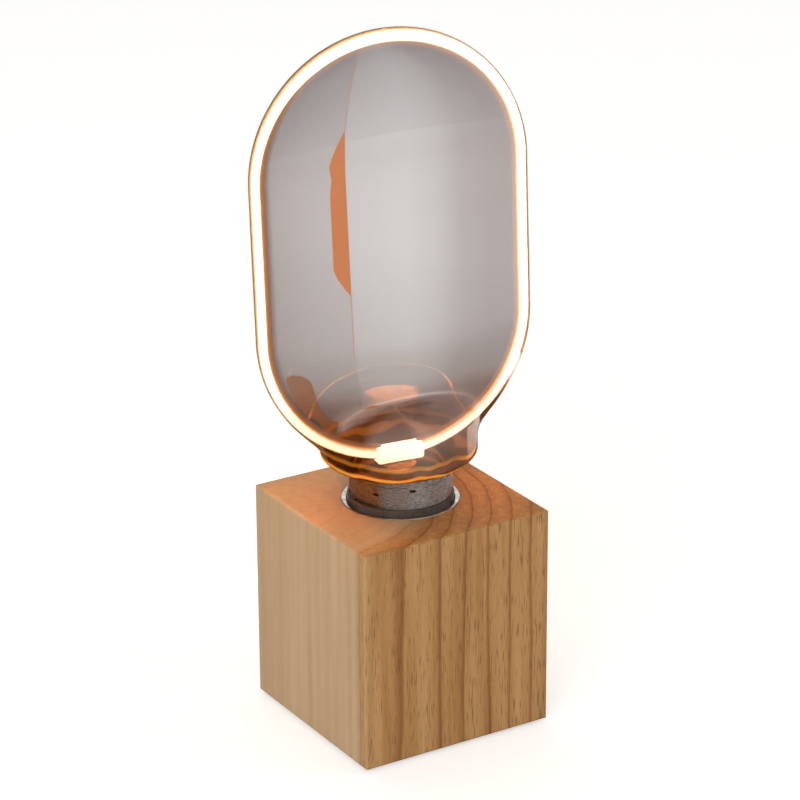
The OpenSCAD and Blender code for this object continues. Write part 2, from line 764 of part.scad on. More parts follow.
module support_wires() {
    wire_top = low_middle - loop_r - end_block_h / 2;
    wire_low = board_top - 2.4;
    color(nickel) on_glass() at_wires() translate([0, 0, wire_low])
        cylinder(r = wire_r, h = wire_top - wire_low);
}

// --- Bulb: driver in the cap ---

module driver_board() {
    color(board_green) on_cap() translate([-board_w / 2, -board_t / 2, board_bottom])
        cube([board_w, board_t, board_h]);
}

module driver_capacitor() {
    groove_at = 1.2;
    groove_h = 0.4;
    color("#30343C") on_cap()
        translate([-board_w / 4, -board_t / 2 - capacitor_r, board_bottom + 1]) {
            cylinder(r = capacitor_r, h = capacitor_l - groove_at);
            translate([0, 0, capacitor_l - groove_at])
                cylinder(r = capacitor_r - groove_h / 2, h = groove_h);
            translate([0, 0, capacitor_l - groove_at + groove_h])
                cylinder(r = capacitor_r, h = groove_at - groove_h);
        }
}

module driver_coil() {
    flange_h = 0.8;
    wound_r = 0.85 * coil_r;
    color("#6B4A2B") on_cap()
        translate([board_w / 4, -board_t / 2 - coil_r, board_bottom + coil_l / 2]) {
            cylinder(r = coil_r, h = flange_h);
            cylinder(r = wound_r, h = coil_l);
            translate([0, 0, coil_l - flange_h]) cylinder(r = coil_r, h = flange_h);
        }
}

module driver_rectifier() {
    color("#202022") on_cap()
        translate([-5, board_t / 2, board_bottom + 4.4]) cube([4.6, 2.4, 3.6]);
}

module driver_resistor() {
    body_r = 1;
    body_l = 4.6;
    color("#B9CBD8") on_cap()
        translate([3.4, board_t / 2 + body_r, board_bottom + 5]) rotate([0, 90, 0]) {
            cylinder(r = body_r * 0.8, h = body_l, center = true);
            for (side = [-1, 1]) translate([0, 0, side * (body_l / 2 - 0.5)])
                cylinder(r = body_r, h = 1, center = true);
        }
}

// Wires from the board to the cap's end contact, on its axis, and to the cap's wall
module supply_wires() {
    end_z = contact_z + solder_h + seat_gap;
    pad_x = board_w / 2 - 2;
    side_y = board_t / 2 + wire_r;
    reach = sqrt(pow(screw_r - cap_t - seat_gap, 2) - pow(side_y + wire_r, 2));
    color(nickel) {
        translate([0, 0, end_z]) cylinder(r = wire_r, h = top + board_bottom - end_z);
        on_cap() translate([pad_x, -side_y, board_bottom / 2]) rotate([0, 90, 0])
            cylinder(r = wire_r, h = reach - pad_x);
    }
}

wood_block();
socket_cup();
holder_dome();
holder_sleeve();
contact_carrier();
screw_shell();
shell_rivet();
contact_foot();
contact_rivet();
contact_leaf();
terminal_blocks();
terminal_screws();
threaded_nipple();
nipple_washer();
nipple_nut();
base_cover();
cover_screws();
felt_pads();
outlet_bush();
cap_shell();
cap_insulator();
cap_contact();
cap_cement();
bulb_glass();
glass_stem();
light_loop();
loop_end_block();
support_wires();
driver_board();
driver_capacitor();
driver_coil();
driver_rectifier();
driver_resistor();
supply_wires();
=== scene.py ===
"""Bare bulb table lamp: an oiled oak block, a sunken screw lamp holder and a flat smoked mirror
bulb that is lit by one silicone light loop. Metres, +Z up, the widest visible face on -Y."""

import math

import bmesh
import bpy
from bpy.props import FloatProperty, FloatVectorProperty, IntProperty, PointerProperty
from mathutils import Matrix, Vector


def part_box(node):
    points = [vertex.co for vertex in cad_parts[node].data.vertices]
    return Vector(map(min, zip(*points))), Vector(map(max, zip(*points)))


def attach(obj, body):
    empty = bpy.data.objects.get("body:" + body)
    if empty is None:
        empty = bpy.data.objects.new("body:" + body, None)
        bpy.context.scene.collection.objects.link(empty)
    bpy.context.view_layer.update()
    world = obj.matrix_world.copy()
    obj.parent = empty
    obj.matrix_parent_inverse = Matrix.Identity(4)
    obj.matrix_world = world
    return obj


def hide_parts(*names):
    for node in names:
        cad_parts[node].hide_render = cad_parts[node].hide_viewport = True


bl_info = {
    "name": "Bare bulb table lamp",
    "version": (1, 0, 0),
    "blender": (4, 5, 0),
    "location": "3D View > Sidebar > Lamp",
    "description": "Builds the pieces, finishes and studio of a bare bulb table lamp",
    "category": "Object",
}

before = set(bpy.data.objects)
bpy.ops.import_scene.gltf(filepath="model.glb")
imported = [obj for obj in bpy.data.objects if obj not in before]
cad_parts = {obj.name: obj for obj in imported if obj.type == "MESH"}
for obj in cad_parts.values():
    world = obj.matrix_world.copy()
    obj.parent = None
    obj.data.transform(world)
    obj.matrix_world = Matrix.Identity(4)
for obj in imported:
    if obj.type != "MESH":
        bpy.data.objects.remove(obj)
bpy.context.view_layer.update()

MM = 0.001
BLOCK_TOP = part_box("wood_block")[1].z
CAP_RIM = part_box("cap_shell")[1].z
CAP_SKIRT_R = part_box("cap_shell")[1].x
CUP_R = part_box("socket_cup")[1].x
CUP_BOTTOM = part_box("socket_cup")[0].z
CUP_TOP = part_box("socket_cup")[1].z
SHELL_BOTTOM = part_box("screw_shell")[0].z
SHELL_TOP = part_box("screw_shell")[1].z
SHELL_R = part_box("screw_shell")[1].x
SHELL_FOOT_R = 10.3 * MM  # inner radius of the screw shell's foot
SLEEVE_R = 13.78 * MM  # outer radius of the holder sleeve's collar
FILM_FROM, FILM_TO = 74 * MM, 116 * MM  # heights between which the film in the bulb thins out


# --- Settings ---

def length(name, description, millimetres):
    return FloatProperty(name=name, description=description, default=millimetres * MM,
                         unit="LENGTH")


def angle(name, description, degrees):
    return FloatProperty(name=name, description=description, default=math.radians(degrees),
                         subtype="ANGLE")


class LampGlassSettings(bpy.types.PropertyGroup):
    half_width: length("Half width", "Half the width of the flat bulb", 36.62)
    half_depth: length("Half depth", "Half the thickness of the flat bulb, front to back", 13)
    straight: length("Straight sides", "Length of the straight sides between the round ends", 40)
    body_rise: length("Body rise",
                      "Height of the flat body's round lower end above the cap's rim", 1.4)
    bowl_radius: length("Bowl radius", "Radius of the round bowl at the bulb's foot", 20.2)
    flare_height: length("Flare height", "Height of the bowl's flared underside", 3.6)
    bowl_side: length("Bowl side", "Height of the bowl's straight side", 8.4)
    bowl_dome: length("Bowl dome", "Height over which the bowl's top runs into the flat body", 11)
    neck_radius: length("Neck radius", "Outer radius of the neck in the cap", 11.8)
    neck_in: length("Neck depth", "Depth of the neck inside the cap", 6)
    seat: length("Flare seat", "Height of the start of the flare above the cap's rim", 0.5)
    wall: length("Wall", "Thickness of the glass", 0.12)
    notch_power: FloatProperty(
        name="Crease sharpness", description="Sharpness of the crease between bowl and flat body",
        default=9, min=2)
    face_turn: angle("Face turn", "Turn of the flat bulb about the lamp's axis", -10.7)
    lean: angle("Lean", "Lean of the glass in its own plane", 1.6)
    around: IntProperty(
        name="Facets round", description="Facets round each ring of the glass", default=192, min=12)
    smoke: FloatVectorProperty(
        name="Smoke", description="Share of light that one wall of the smoked glass lets through",
        default=(0.52, 0.48, 0.47), size=3, min=0, max=1)
    mirror: FloatProperty(
        name="Mirror film", description="Share of light that the film inside the glass reflects",
        default=0.56, min=0, max=1, subtype="FACTOR")


class LampLightSettings(bpy.types.PropertyGroup):
    tube_radius: length("Tube radius", "Radius of the silicone light tube", 1.4)
    core_radius: length("Core radius", "Radius of the glowing core inside the silicone", 1.3)
    tube_gap: length("Tube gap", "Gap between the light tube and the glass", 0.02)
    crown_swell: length("Crown swell", "How much thicker the loop is at its crown", 0.4)
    web_width: length("Web width", "Half the width of the thin web inside the loop", 0.95)
    web_flat: FloatProperty(
        name="Web flatness", description="Thickness of the web as a share of its width",
        default=0.16, min=0, max=1)
    web_reach: length("Web reach", "Distance from the glass's outside to the web's middle", 3.45)
    block_length: length("End block length", "Length of the block that joins the loop's ends", 12.6)
    block_height: length("End block height", "Height of the end block", 4.2)
    block_depth: length("End block depth", "Thickness of the end block, front to back", 3.8)
    tube_in: length("Tube end", "How far each end of the tube reaches into the block", 1.5)
    glow: FloatVectorProperty(
        name="Glow", description="Light that the core gives, as a share of white paper's",
        default=(104.0, 66.0, 4.4), size=3, min=0)
    block_glow: FloatVectorProperty(
        name="Block glow", description="Light that the end block gives, as a share of white paper's",
        default=(16.0, 9.0, 4.8), size=3, min=0)


class LampMetalSettings(bpy.types.PropertyGroup):
    pitch: length("Thread pitch", "Rise of the lamp screw in one turn", 3.629)
    crest_radius: length("Crest radius", "Crest radius of the cap's screw", 13.1)
    thread_depth: length("Thread depth", "Depth of the rolled thread", 0.85)
    skirt_height: length("Skirt height", "Height of the plain skirt above the screw", 7.2)
    sheet: length("Cap sheet", "Thickness of the cap's sheet metal", 0.35)
    screws: IntProperty(
        name="Cover screws", description="How many screws hold the cover", default=3, min=1)
    screw_place: length("Screw place", "Distance of the cover screws from the lamp's axis", 19.7)
    screw_start: angle("Screw start", "Direction of the first cover screw", 30)
    screw_radius: length("Screw radius", "Radius of a cover screw's thread", 1.2)
    screw_head: length("Screw head", "Height of a cover screw's countersunk head", 1.2)


class LampWoodSettings(bpy.types.PropertyGroup):
    pith_x: length("Pith X", "Place of the tree's pith across the block", -30)
    pith_y: length("Pith Y", "Place of the tree's pith along the block", 10)
    ring_gap: length("Ring gap", "Distance between two year rings", 4.9)
    ring_start: length("Ring start", "Radius of the first clear year ring", 39.7)
    heart_radius: length("Heart radius",
                         "Radius at which the pale heart turns into brown wood", 35.5)


class LampStudioSettings(bpy.types.PropertyGroup):
    view_azimuth: angle("View azimuth", "Direction of the camera round the lamp", -31.622)
    view_elevation: angle("View elevation", "Height angle of the camera", 21.656)
    view_roll: angle("View roll", "Tilt of the camera about its own line of sight", -0.339)
    view_distance: length("View distance", "Distance of the camera from the block's middle", 878.9)
    view_rise: length("View rise", "How far above the block's middle the camera is aimed", 52.7)
    lens: FloatProperty(
        name="Lens", description="Focal length of the camera in millimetres",
        default=152.3, min=1)
    sky: FloatProperty(
        name="Sky", description="Light of the room from all sides, as a share of white",
        default=0.42, min=0)


# --- Helpers ---

def linear(colour):
    """One sRGB hex colour, such as '#BA9B79', as linear RGBA."""
    channels = [int(colour[i:i + 2], 16) / 255 for i in (1, 3, 5)]
    curve = [c / 12.92 if c <= 0.04045 else ((c + 0.055) / 1.055) ** 2.4 for c in channels]
    return (*curve, 1.0)


def node(tree, kind, inputs=(), stops=(), **settings):
    """Adds one node with its settings. kind is its type, where a short one is a ShaderNode. inputs
    are listed, or named by index or name, and each is a value, an output, or a node that stands
    for its first output. stops are a ramp's places and the colours there, as hex or as RGB."""
    made = tree.nodes.new(kind if "Node" in kind else "ShaderNode" + kind)
    for name, value in settings.items():
        setattr(made, name, value)
    for key, value in inputs.items() if isinstance(inputs, dict) else enumerate(inputs):
        if isinstance(value, bpy.types.Node):
            value = value.outputs[0]
        if isinstance(value, bpy.types.NodeSocket):
            tree.links.new(value, made.inputs[key])
        else:
            made.inputs[key].default_value = value
    while stops and len(made.color_ramp.elements) < len(stops):
        made.color_ramp.elements.new(1.0)
    for i, (place, colour) in enumerate(stops):
        element = made.color_ramp.elements[i]
        element.position = place
        element.color = linear(colour) if isinstance(colour, str) else (*colour, 1)
    return made


def grain(tree, size, stretch=(1, 1, 1), detail=3.0):
    """Noise with cells of one size in metres, stretched along X, Y and Z of the piece."""
    place = node(tree, "TexCoord").outputs["Object"]
    scale = [1 / (size * s) for s in stretch]
    mapped = node(tree, "Mapping", {"Vector": place, "Scale": scale})
    return node(tree, "TexNoise",
                {"Vector": mapped.outputs[0], "Scale": 1.0, "Detail": detail}).outputs["Fac"]


def new_material(name):
    made = bpy.data.materials.new(name)
    made.use_nodes = True
    made.node_tree.nodes.clear()
    return made, made.node_tree


def surface(tree, shader):
    node(tree, "OutputMaterial", {"Surface": shader})


def piece_object(name, mesh, body, slot, *replaced):
    """Puts a mesh into the scene as a piece on a body, in place of the CAD nodes it stands for."""
    made = bpy.data.objects.new(name, mesh)
    bpy.context.scene.collection.objects.link(made)
    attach(made, body)
    if replaced:
        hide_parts(*replaced)
    return made


def shade_smooth(mesh, sharp_from=None):
    mesh.shade_smooth()
    if sharp_from is not None:
        mesh.set_sharp_from_angle(angle=sharp_from)


def grid_mesh(name, rows, closed_rows=False, caps=(None, None)):
    """A mesh through rows of points that each run once round the axis. caps are a point that
    closes the first and the last row; closed_rows joins the last row to the first."""
    mesh = bpy.data.meshes.new(name)
    around = len(rows[0])
    points = [p for row in rows for p in row]
    faces = []
    for i in range(len(rows) if closed_rows else len(rows) - 1):
        low, high = i * around, (i + 1) % len(rows) * around
        for k in range(around):
            n = (k + 1) % around
            faces.append((low + k, low + n, high + n, high + k))
    for end, tip in zip((0, len(rows) - 1), caps):
        if tip is not None:
            points.append(tip)
            for k in range(around):
                pair = (end * around + (k + 1) % around, end * around + k)
                faces.append((len(points) - 1, *(pair if end == 0 else pair[::-1])))
    mesh.from_pydata(points, [], faces)
    mesh.update()
    return mesh


def ring(radii, z):
    """Points round the lamp's axis at one height, evenly turned, at a radius each."""
    turns = [2 * math.pi * k / len(radii) for k in range(len(radii))]
    return [(r * math.cos(t), r * math.sin(t), z) for r, t in zip(radii, turns)]


def revolve(name, profile, steps=160):
    """A closed ring round the lamp's axis from the corners of its section, as (radius, height)."""
    mesh = grid_mesh(name, [ring([r] * steps, z) for r, z in profile], closed_rows=True)
    face_outwards(mesh)
    return mesh


def face_outwards(mesh):
    work = bmesh.new()
    work.from_mesh(mesh)
    bmesh.ops.remove_doubles(work, verts=work.verts, dist=1e-7)
    bmesh.ops.recalc_face_normals(work, faces=work.faces)
    work.to_mesh(mesh)
    work.free()


def baked(name, source, body, slot, *replaced):
    """The evaluated result of a modified object as a plain mesh piece; the source goes."""
    bpy.context.view_layer.update()
    graph = bpy.context.evaluated_depsgraph_get()
    mesh = bpy.data.meshes.new_from_object(source.evaluated_get(graph))
    data = source.data
    source.modifiers.clear()
    bpy.data.objects.remove(source)
    if data.users == 0:
        (bpy.data.curves if isinstance(data, bpy.types.Curve) else bpy.data.meshes).remove(data)
    mesh.name = name
    return piece_object(name, mesh, body, slot, *replaced)


def arc(centre, radius, start, end, steps):
    """Points of an arc in a section, angles in degrees."""
    turns = [math.radians(start + (end - start) * i / steps) for i in range(steps + 1)]
    return [(centre[0] + radius * math.cos(t), centre[1] + radius * math.sin(t)) for t in turns]


# --- Finishes ---

def oiled_oak(wood):
    """Ring porous oak, sawn, sanded and oiled: year rings round a pith outside the block, fine
    dark pores along the grain, pale near the heart and brown further out."""
    made, tree = new_material("Oiled oak")
    place = node(tree, "TexCoord").outputs["Object"]
    wander = grain(tree, 14 * MM, (1, 1, 6), 2.0)
    axes = node(tree, "SeparateXYZ", [place])
    across = node(tree, "Math", [axes.outputs["X"], wood.pith_x], operation="SUBTRACT")
    along = node(tree, "Math", [axes.outputs["Y"], wood.pith_y], operation="SUBTRACT")
    flat = node(tree, "CombineXYZ", [across, along])
    reach = node(tree, "VectorMath", [flat], operation="LENGTH")
    shift = node(tree, "Math", [wander, 0.5], operation="SUBTRACT")
    radius = node(tree, "Math", [shift, 3.2 * MM, reach.outputs["Value"]],
                  operation="MULTIPLY_ADD")
    turns = node(tree, "Math", [radius, wood.ring_start], operation="SUBTRACT")
    years = node(tree, "Math", [turns, wood.ring_gap], operation="DIVIDE")
    year = node(tree, "Math", [years], operation="FRACT")
    # Late wood: darker towards the end of a year, with a thin dark line where the next begins
    late = node(tree, "ValToRGB", [year], stops=[
        (0.0, "#A97F5C"), (0.05, "#F2E6DA"), (0.45, "#FFFFFF"),
        (0.86, "#F0E0D0"), (0.97, "#B48C6A")])
    outer = node(tree, "MapRange",
                 [radius, wood.heart_radius - 3 * MM, wood.heart_radius + 2.5 * MM])
    streaks = grain(tree, 2.2 * MM, (1, 1, 30), 4.0)
    pale = node(tree, "ValToRGB", [streaks], stops=[
        (0.3, "#C4A27C"), (0.5, "#C9A984"), (0.7, "#CEAE8A")])
    brown = node(tree, "ValToRGB", [streaks], stops=[
        (0.3, "#A87C49"), (0.5, "#B58A58"), (0.7, "#C09562")])
    body = node(tree, "Mix", {0: outer, 6: pale, 7: brown}, data_type="RGBA")
    ring_share = node(tree, "MapRange", {0: outer, 3: 0.1, 4: 0.7})
    ringed = node(tree, "Mix", {0: ring_share, 6: body.outputs[2], 7: late},
                  data_type="RGBA", blend_type="MULTIPLY")
    # Pores: open vessels cut lengthwise, a quarter of a millimetre wide and some long
    pores = grain(tree, 0.32 * MM, (1, 1, 16), 1.0)
    crowd = grain(tree, 3 * MM, (1, 1, 8), 2.0)
    gathered = node(tree, "Math", [crowd, 0.35, pores], operation="MULTIPLY_ADD")
    open_pore = node(tree, "MapRange", [gathered, 0.73, 0.86])
    pore_share = node(tree, "MapRange", {0: outer, 3: 0.06, 4: 0.72})
    pore = node(tree, "Math", [open_pore, pore_share], operation="MULTIPLY")
    coloured = node(tree, "Mix", {0: pore, 6: ringed.outputs[2], 7: linear("#7A4F2A")},
                    data_type="RGBA")
    rough = node(tree, "MapRange", [streaks, 0.3, 0.7, 0.48, 0.58])
    dents = node(tree, "Bump", {"Strength": 0.25, "Distance": 0.05 * MM, "Height": open_pore},
                 invert=True)
    surface(tree, node(tree, "BsdfPrincipled", {
        "Base Color": coloured.outputs[2], "Roughness": rough, "IOR": 1.45,
        "Specular IOR Level": 0.35, "Normal": dents}))
    return made


def round_metal(name, low, high, roughness, scratch=0.16, brushed=0.8, pits=0.0):
    """Sheet metal that was spun or rolled round the lamp's axis: fine scratches run round it and
    spread what it mirrors up and down. pits is the share of brown tarnish spots."""
    made, tree = new_material(name)
    place = node(tree, "TexCoord").outputs["Object"]
    axes = node(tree, "SeparateXYZ", [place])
    turn = node(tree, "Math", [axes.outputs["Y"], axes.outputs["X"]], operation="ARCTAN2")
    # Scratches 0.15 mm wide and 2 mm long, drawn coarser than they are so that they show
    lanes = node(tree, "Math", [axes.outputs["Z"], 1 / (0.15 * MM)], operation="MULTIPLY")
    wrapped = node(tree, "Math", [turn, 7.0], operation="MULTIPLY")
    rolled = node(tree, "CombineXYZ", {0: wrapped, 2: lanes})
    lines = node(tree, "TexNoise", {"Vector": rolled, "Scale": 1.0, "Detail": 3.0}).outputs["Fac"]
    spots = grain(tree, 0.5 * MM, (1, 1, 0.5), 3.0)
    mixed = node(tree, "Math", [spots, 0.5, lines], operation="MULTIPLY_ADD")
    colour = node(tree, "ValToRGB", [mixed], stops=[(0.55, low), (0.9, high)])
    # One place for a tarnish spot about every 3.8 mm round and 1.7 mm up, and few are taken
    squat = node(tree, "Mapping", {"Vector": place, "Scale": (260, 260, 600)})
    tarnish = node(tree, "TexVoronoi", {"Vector": squat, "Scale": 1.0})
    pit = node(tree, "MapRange", [tarnish.outputs["Distance"], 0.22, 0.3, pits, 0.0])
    chance = node(tree, "SeparateXYZ", [tarnish.outputs["Color"]]).outputs["X"]
    rare = node(tree, "Math", [chance, 0.82], operation="GREATER_THAN")
    spot = node(tree, "Math", [pit, rare], operation="MULTIPLY")
    pitted = node(tree, "Mix", {0: spot, 6: colour, 7: linear("#5A3A22")}, data_type="RGBA")
    rough = node(tree, "MapRange", [mixed, 0.5, 0.95, roughness + scratch, roughness])
    height = node(tree, "Bump", {"Strength": 0.3, "Distance": 0.02 * MM, "Height": lines})
    around = node(tree, "Tangent", direction_type="RADIAL", axis="Z")
    surface(tree, node(tree, "BsdfPrincipled", {
        "Base Color": pitted.outputs[2], "Metallic": 1.0, "Roughness": rough,
        "Anisotropic": brushed, "Anisotropic Rotation": 0.25, "Tangent": around,
        "Normal": height}))
    return made


def cast_finish(name, low, high, roughness, size, bump=0.03 * MM, metallic=0.0, ior=1.5):
    """A moulded, fired, plated or pressed surface: two tones and a fine relief of one size."""
    made, tree = new_material(name)
    relief = grain(tree, size, detail=4.0)
    clouds = grain(tree, 12 * size, detail=2.0)
    tone = node(tree, "Math", [relief, 0.4, clouds], operation="MULTIPLY_ADD")
    colour = node(tree, "ValToRGB", [tone], stops=[(0.45, low), (0.95, high)])
    rough = node(tree, "MapRange", [relief, 0.3, 0.7, roughness - 0.05, roughness + 0.05])
    height = node(tree, "Bump", {"Strength": 0.4, "Distance": bump, "Height": relief})
    settings = {"Base Color": colour, "Metallic": metallic, "Roughness": rough, "Normal": height}
    if metallic == 0:
        settings["IOR"] = ior
    surface(tree, node(tree, "BsdfPrincipled", settings))
    return made


UNTINTED = [(0.0, (1, 1, 1)), (1.0, (1, 1, 1))]
# The film in the bulb, from its foot, where it is brown, up to its even smoke grey
FILM_PASSED = [(0.0, (0.36, 0.15, 0.04)), (0.12, (0.38, 0.19, 0.08)), (0.2, (0.46, 0.3, 0.22)),
               (0.42, (0.47, 0.34, 0.28))]
FILM_MIRRORED = [(0.0, (0.3, 0.18, 0.08)), (0.12, (0.36, 0.24, 0.14)), (0.22, (0.5, 0.38, 0.31)),
                 (0.42, (0.66, 0.54, 0.49)), (0.6, (0.98, 0.965, 0.96))]


def thin_wall(name, passed, mirrored, front, behind, edges, frost=0.0, ember=0.0):
    """One skin of a thin glass wall. Light goes straight through with a tint, and a share of it is
    mirrored: front from the side that the faces point to, behind from the other, growing to the
    edges' shares where it is seen along the wall. passed and mirrored are ramp stops over the
    bulb's foot, frost is the roughness at its lowest part, and ember the light of the rings there."""
    made, tree = new_material(name)
    place = node(tree, "TexCoord").outputs["Object"]
    height = node(tree, "SeparateXYZ", [place]).outputs["Z"]
    cloud = grain(tree, 14 * MM, detail=2.0)
    uneven = node(tree, "Math", [cloud, 6 * MM, height], operation="MULTIPLY_ADD")
    foot = node(tree, "MapRange", [uneven, FILM_FROM, FILM_TO])
    tint = node(tree, "ValToRGB", [foot], stops=passed)
    shine = node(tree, "ValToRGB", [foot], stops=mirrored)
    through = node(tree, "BsdfTransparent", {"Color": tint})
    dull = node(tree, "MapRange", [foot, 0.05, 0.3, frost, 0.0])
    gloss = node(tree, "BsdfGlossy", {"Color": shine, "Roughness": dull})
    side = node(tree, "NewGeometry").outputs["Backfacing"]
    square = node(tree, "MapRange", {0: side, 3: front, 4: behind})
    slant = node(tree, "LayerWeight", {"Blend": 0.5}).outputs["Facing"]
    rise = node(tree, "Math", [slant, 5.0], operation="POWER")
    along = node(tree, "MapRange", {0: side, 3: edges[0], 4: edges[1]})
    share = node(tree, "MapRange", {0: rise, 3: square, 4: along})
    mixed = node(tree, "MixShader", [share, through, gloss])
    if ember:
        # The thick foot guides the loop's light and lets it out where the moulding left rings
        phase = node(tree, "Math", [uneven, 2 * math.pi / (3.4 * MM)], operation="MULTIPLY")
        wave = node(tree, "Math", [phase], operation="SINE")
        rings = node(tree, "MapRange", [wave, 0.0, 0.8])
        fade = node(tree, "MapRange", [height, CAP_RIM + 3 * MM, CAP_RIM + 8 * MM, ember, 0.0])
        level = node(tree, "Math", [rings, fade], operation="MULTIPLY")
        shine = node(tree, "Emission", {"Color": (1.0, 0.36, 0.04, 1), "Strength": level})
        mixed = node(tree, "AddShader", [mixed, shine])
    # Shadow rays pass, so the light of the loop and of the studio gets through the wall
    lit = node(tree, "BsdfTransparent", {"Color": (0.8, 0.75, 0.68, 1)})
    shadow = node(tree, "LightPath").outputs["Is Shadow Ray"]
    surface(tree, node(tree, "MixShader", [shadow, mixed, lit]))
    return made


def uneven_level(tree, strength, vary, size):
    """A level of light that wavers a little from place to place."""
    cells = grain(tree, size, detail=2.0)
    return node(tree, "MapRange", [cells, 0.3, 0.7, strength * (1 - vary), strength * (1 + vary)])


# The brightest light the camera sees on the loop and the block, before the film dims it
SEEN_LEVEL = 12.0
# Amber at both sides of the tube, where more silicone lies over the phosphor, and white between
CORE_SHADES = [(0.0, (4.0, 2.3, 0.85)), (0.06, (4.5, 4.2, 2.9)), (0.14, (10.5, 9.6, 8.4)),
               (0.76, (10.5, 9.2, 7.8)), (0.88, (5.0, 4.6, 3.5)), (0.96, (4.3, 3.4, 1.8)),
               (1.0, (4.0, 2.3, 0.85))]


def glowing(name, colour, vary, seen, mirrored):
    """A phosphor filled surface that gives its own light, a little uneven along its length. seen
    and mirrored are what the camera and the glass see of it, as it would be glaring otherwise:
    seen gives its colours from the loop's outer side to its inner side."""
    made, tree = new_material(name)
    peak = max(colour)
    path = node(tree, "LightPath").outputs
    lamp = node(tree, "Emission", {"Color": (*[c / peak for c in colour], 1),
                                   "Strength": uneven_level(tree, peak, vary, 1.2 * MM)})
    across = node(tree, "Attribute", attribute_name="across").outputs["Fac"]
    shades = node(tree, "ValToRGB", [across], stops=[
        (at, [c / SEEN_LEVEL for c in shade]) for at, shade in seen])
    face = node(tree, "Emission", {
        "Color": shades, "Strength": uneven_level(tree, SEEN_LEVEL, vary, 1.2 * MM)})
    image = node(tree, "Emission", {"Color": (*mirrored, 1), "Strength": 1.0})
    shown = node(tree, "MixShader", [path["Is Camera Ray"], lamp, face])
    surface(tree, node(tree, "MixShader", [path["Is Glossy Ray"], shown, image]))
    return made


def amber_silicone():
    """Clear silicone skin of the light tube: the core shines through, the rim glows amber."""
    made, tree = new_material("Amber silicone")
    glow = node(tree, "Emission", {"Color": (1.0, 0.62, 0.26, 1),
                                   "Strength": uneven_level(tree, 1.8, 0.1, 0.8 * MM)})
    through = node(tree, "BsdfTransparent", {"Color": (1.0, 0.98, 0.95, 1)})
    slant = node(tree, "LayerWeight", {"Blend": 0.5}).outputs["Facing"]
    skin = node(tree, "MapRange", [slant, 0.45, 0.8, 0.03, 0.9])
    surface(tree, node(tree, "MixShader", [skin, through, glow]))
    return made


def web_painted_glow():
    """The thin silicone web in the loop: a painted amber glow next to the light, clear at its free
    edge.
    """
    made, tree = new_material("Amber silicone web")
    across = node(tree, "Attribute", attribute_name="across").outputs["Fac"]
    uneven = node(tree, "Math", [grain(tree, 1.5 * MM), 0.16, across], operation="MULTIPLY_ADD")
    colour = node(tree, "ValToRGB", [uneven], stops=[
        (0.26, (1.0, 0.53, 0.18)), (0.42, (0.44, 0.18, 0.06)), (0.7, (0.30, 0.17, 0.11))])
    # Painted glow: emission in place of the loop's light that the web catches
    glow = node(tree, "Emission", {"Color": colour, "Strength": 3.8})
    through = node(tree, "BsdfTransparent")
    clear = node(tree, "MapRange", [uneven, 0.55, 1.05, 0.0, 1.0])
    surface(tree, node(tree, "MixShader", [clear, glow, through]))
    return made


# --- Glass ---

def glass_heights(glass):
    """Heights above the block, along the bulb's axis, that the outline is drawn from."""
    cap_stand = CAP_RIM - BLOCK_TOP
    flare_from = cap_stand + glass.seat
    low_middle = cap_stand + glass.body_rise + glass.half_width
    return {
        "neck": cap_stand - glass.neck_in,
        "flare": flare_from,
        "dome": flare_from + glass.flare_height + glass.bowl_side,
        "low": low_middle,
        "high": low_middle + glass.straight,
    }


def clamp(value):
    return min(1.0, max(0.0, value))


def skin_point(glass, heights, s, inset, turn):
    """One point of the glass at a height s: the round foot and the flat body's ellipse,
    whichever reaches further in that direction, with the crease between them smoothed."""
    flare = clamp((s - heights["flare"] - inset) / glass.flare_height)
    dome = clamp((s - heights["dome"]) / glass.bowl_dome)
    neck = glass.neck_radius - inset
    foot = (neck + (glass.bowl_radius - glass.neck_radius) * math.sqrt(1 - (1 - flare) ** 2))
    foot *= math.sqrt(1 - dome * dome)
    off = max(heights["low"] - s, s - heights["high"], 0)
    share = math.sqrt(max(0.0, 1 - (off / (glass.half_width - inset)) ** 2))
    wide, deep = (glass.half_width - inset) * share, (glass.half_depth - inset) * share
    narrow = clamp((s - heights["flare"]) / (heights["low"] - heights["flare"]))
    flat = 1 + (glass.half_depth / glass.half_width - 1) * narrow ** 2 * (3 - 2 * narrow)
    a = math.atan2(flat * math.sin(turn), math.cos(turn))
    body = wide * deep / math.hypot(deep * math.cos(a), wide * math.sin(a)) if share else 0.0
    power = glass.notch_power
    longest = max(foot, body)
    r = longest * ((foot / longest) ** power + (body / longest) ** power) ** (1 / power)
    return (r * math.cos(a), r * math.sin(a), s)


def skin_rows(glass, heights, inset):
    """Heights of the rings of one skin, closer together where it curves."""
    first = heights["flare"] + inset
    bowl_from, bowl_to = first + glass.flare_height, heights["dome"] + glass.bowl_dome
    body = glass.half_width - inset
    rows = [heights["neck"] + (first - 0.2 * MM - heights["neck"]) * i / 3 for i in range(4)]
    rows += [first + glass.flare_height * (1 - math.cos(math.pi / 2 * i / 16)) for i in range(17)]
    rows += [bowl_from + (bowl_to - bowl_from) * math.sin(math.pi / 2 * i / 48)
             for i in range(1, 49)]
    rows += [bowl_to + (heights["low"] - bowl_to) * i / 14 for i in range(1, 15)]
    rows += [heights["low"] + glass.straight * i / 16 for i in range(1, 17)]
    rows += [heights["high"] + body * math.sin(math.radians(89.2) * i / 40) for i in range(1, 41)]
    return rows


def on_glass(glass):
    """From the bulb's own leaning axis to the lamp's frame."""
    return (Matrix.Translation((0, 0, BLOCK_TOP)) @ Matrix.Rotation(glass.face_turn, 4, "Z")
            @ Matrix.Rotation(-glass.lean, 4, "Y"))


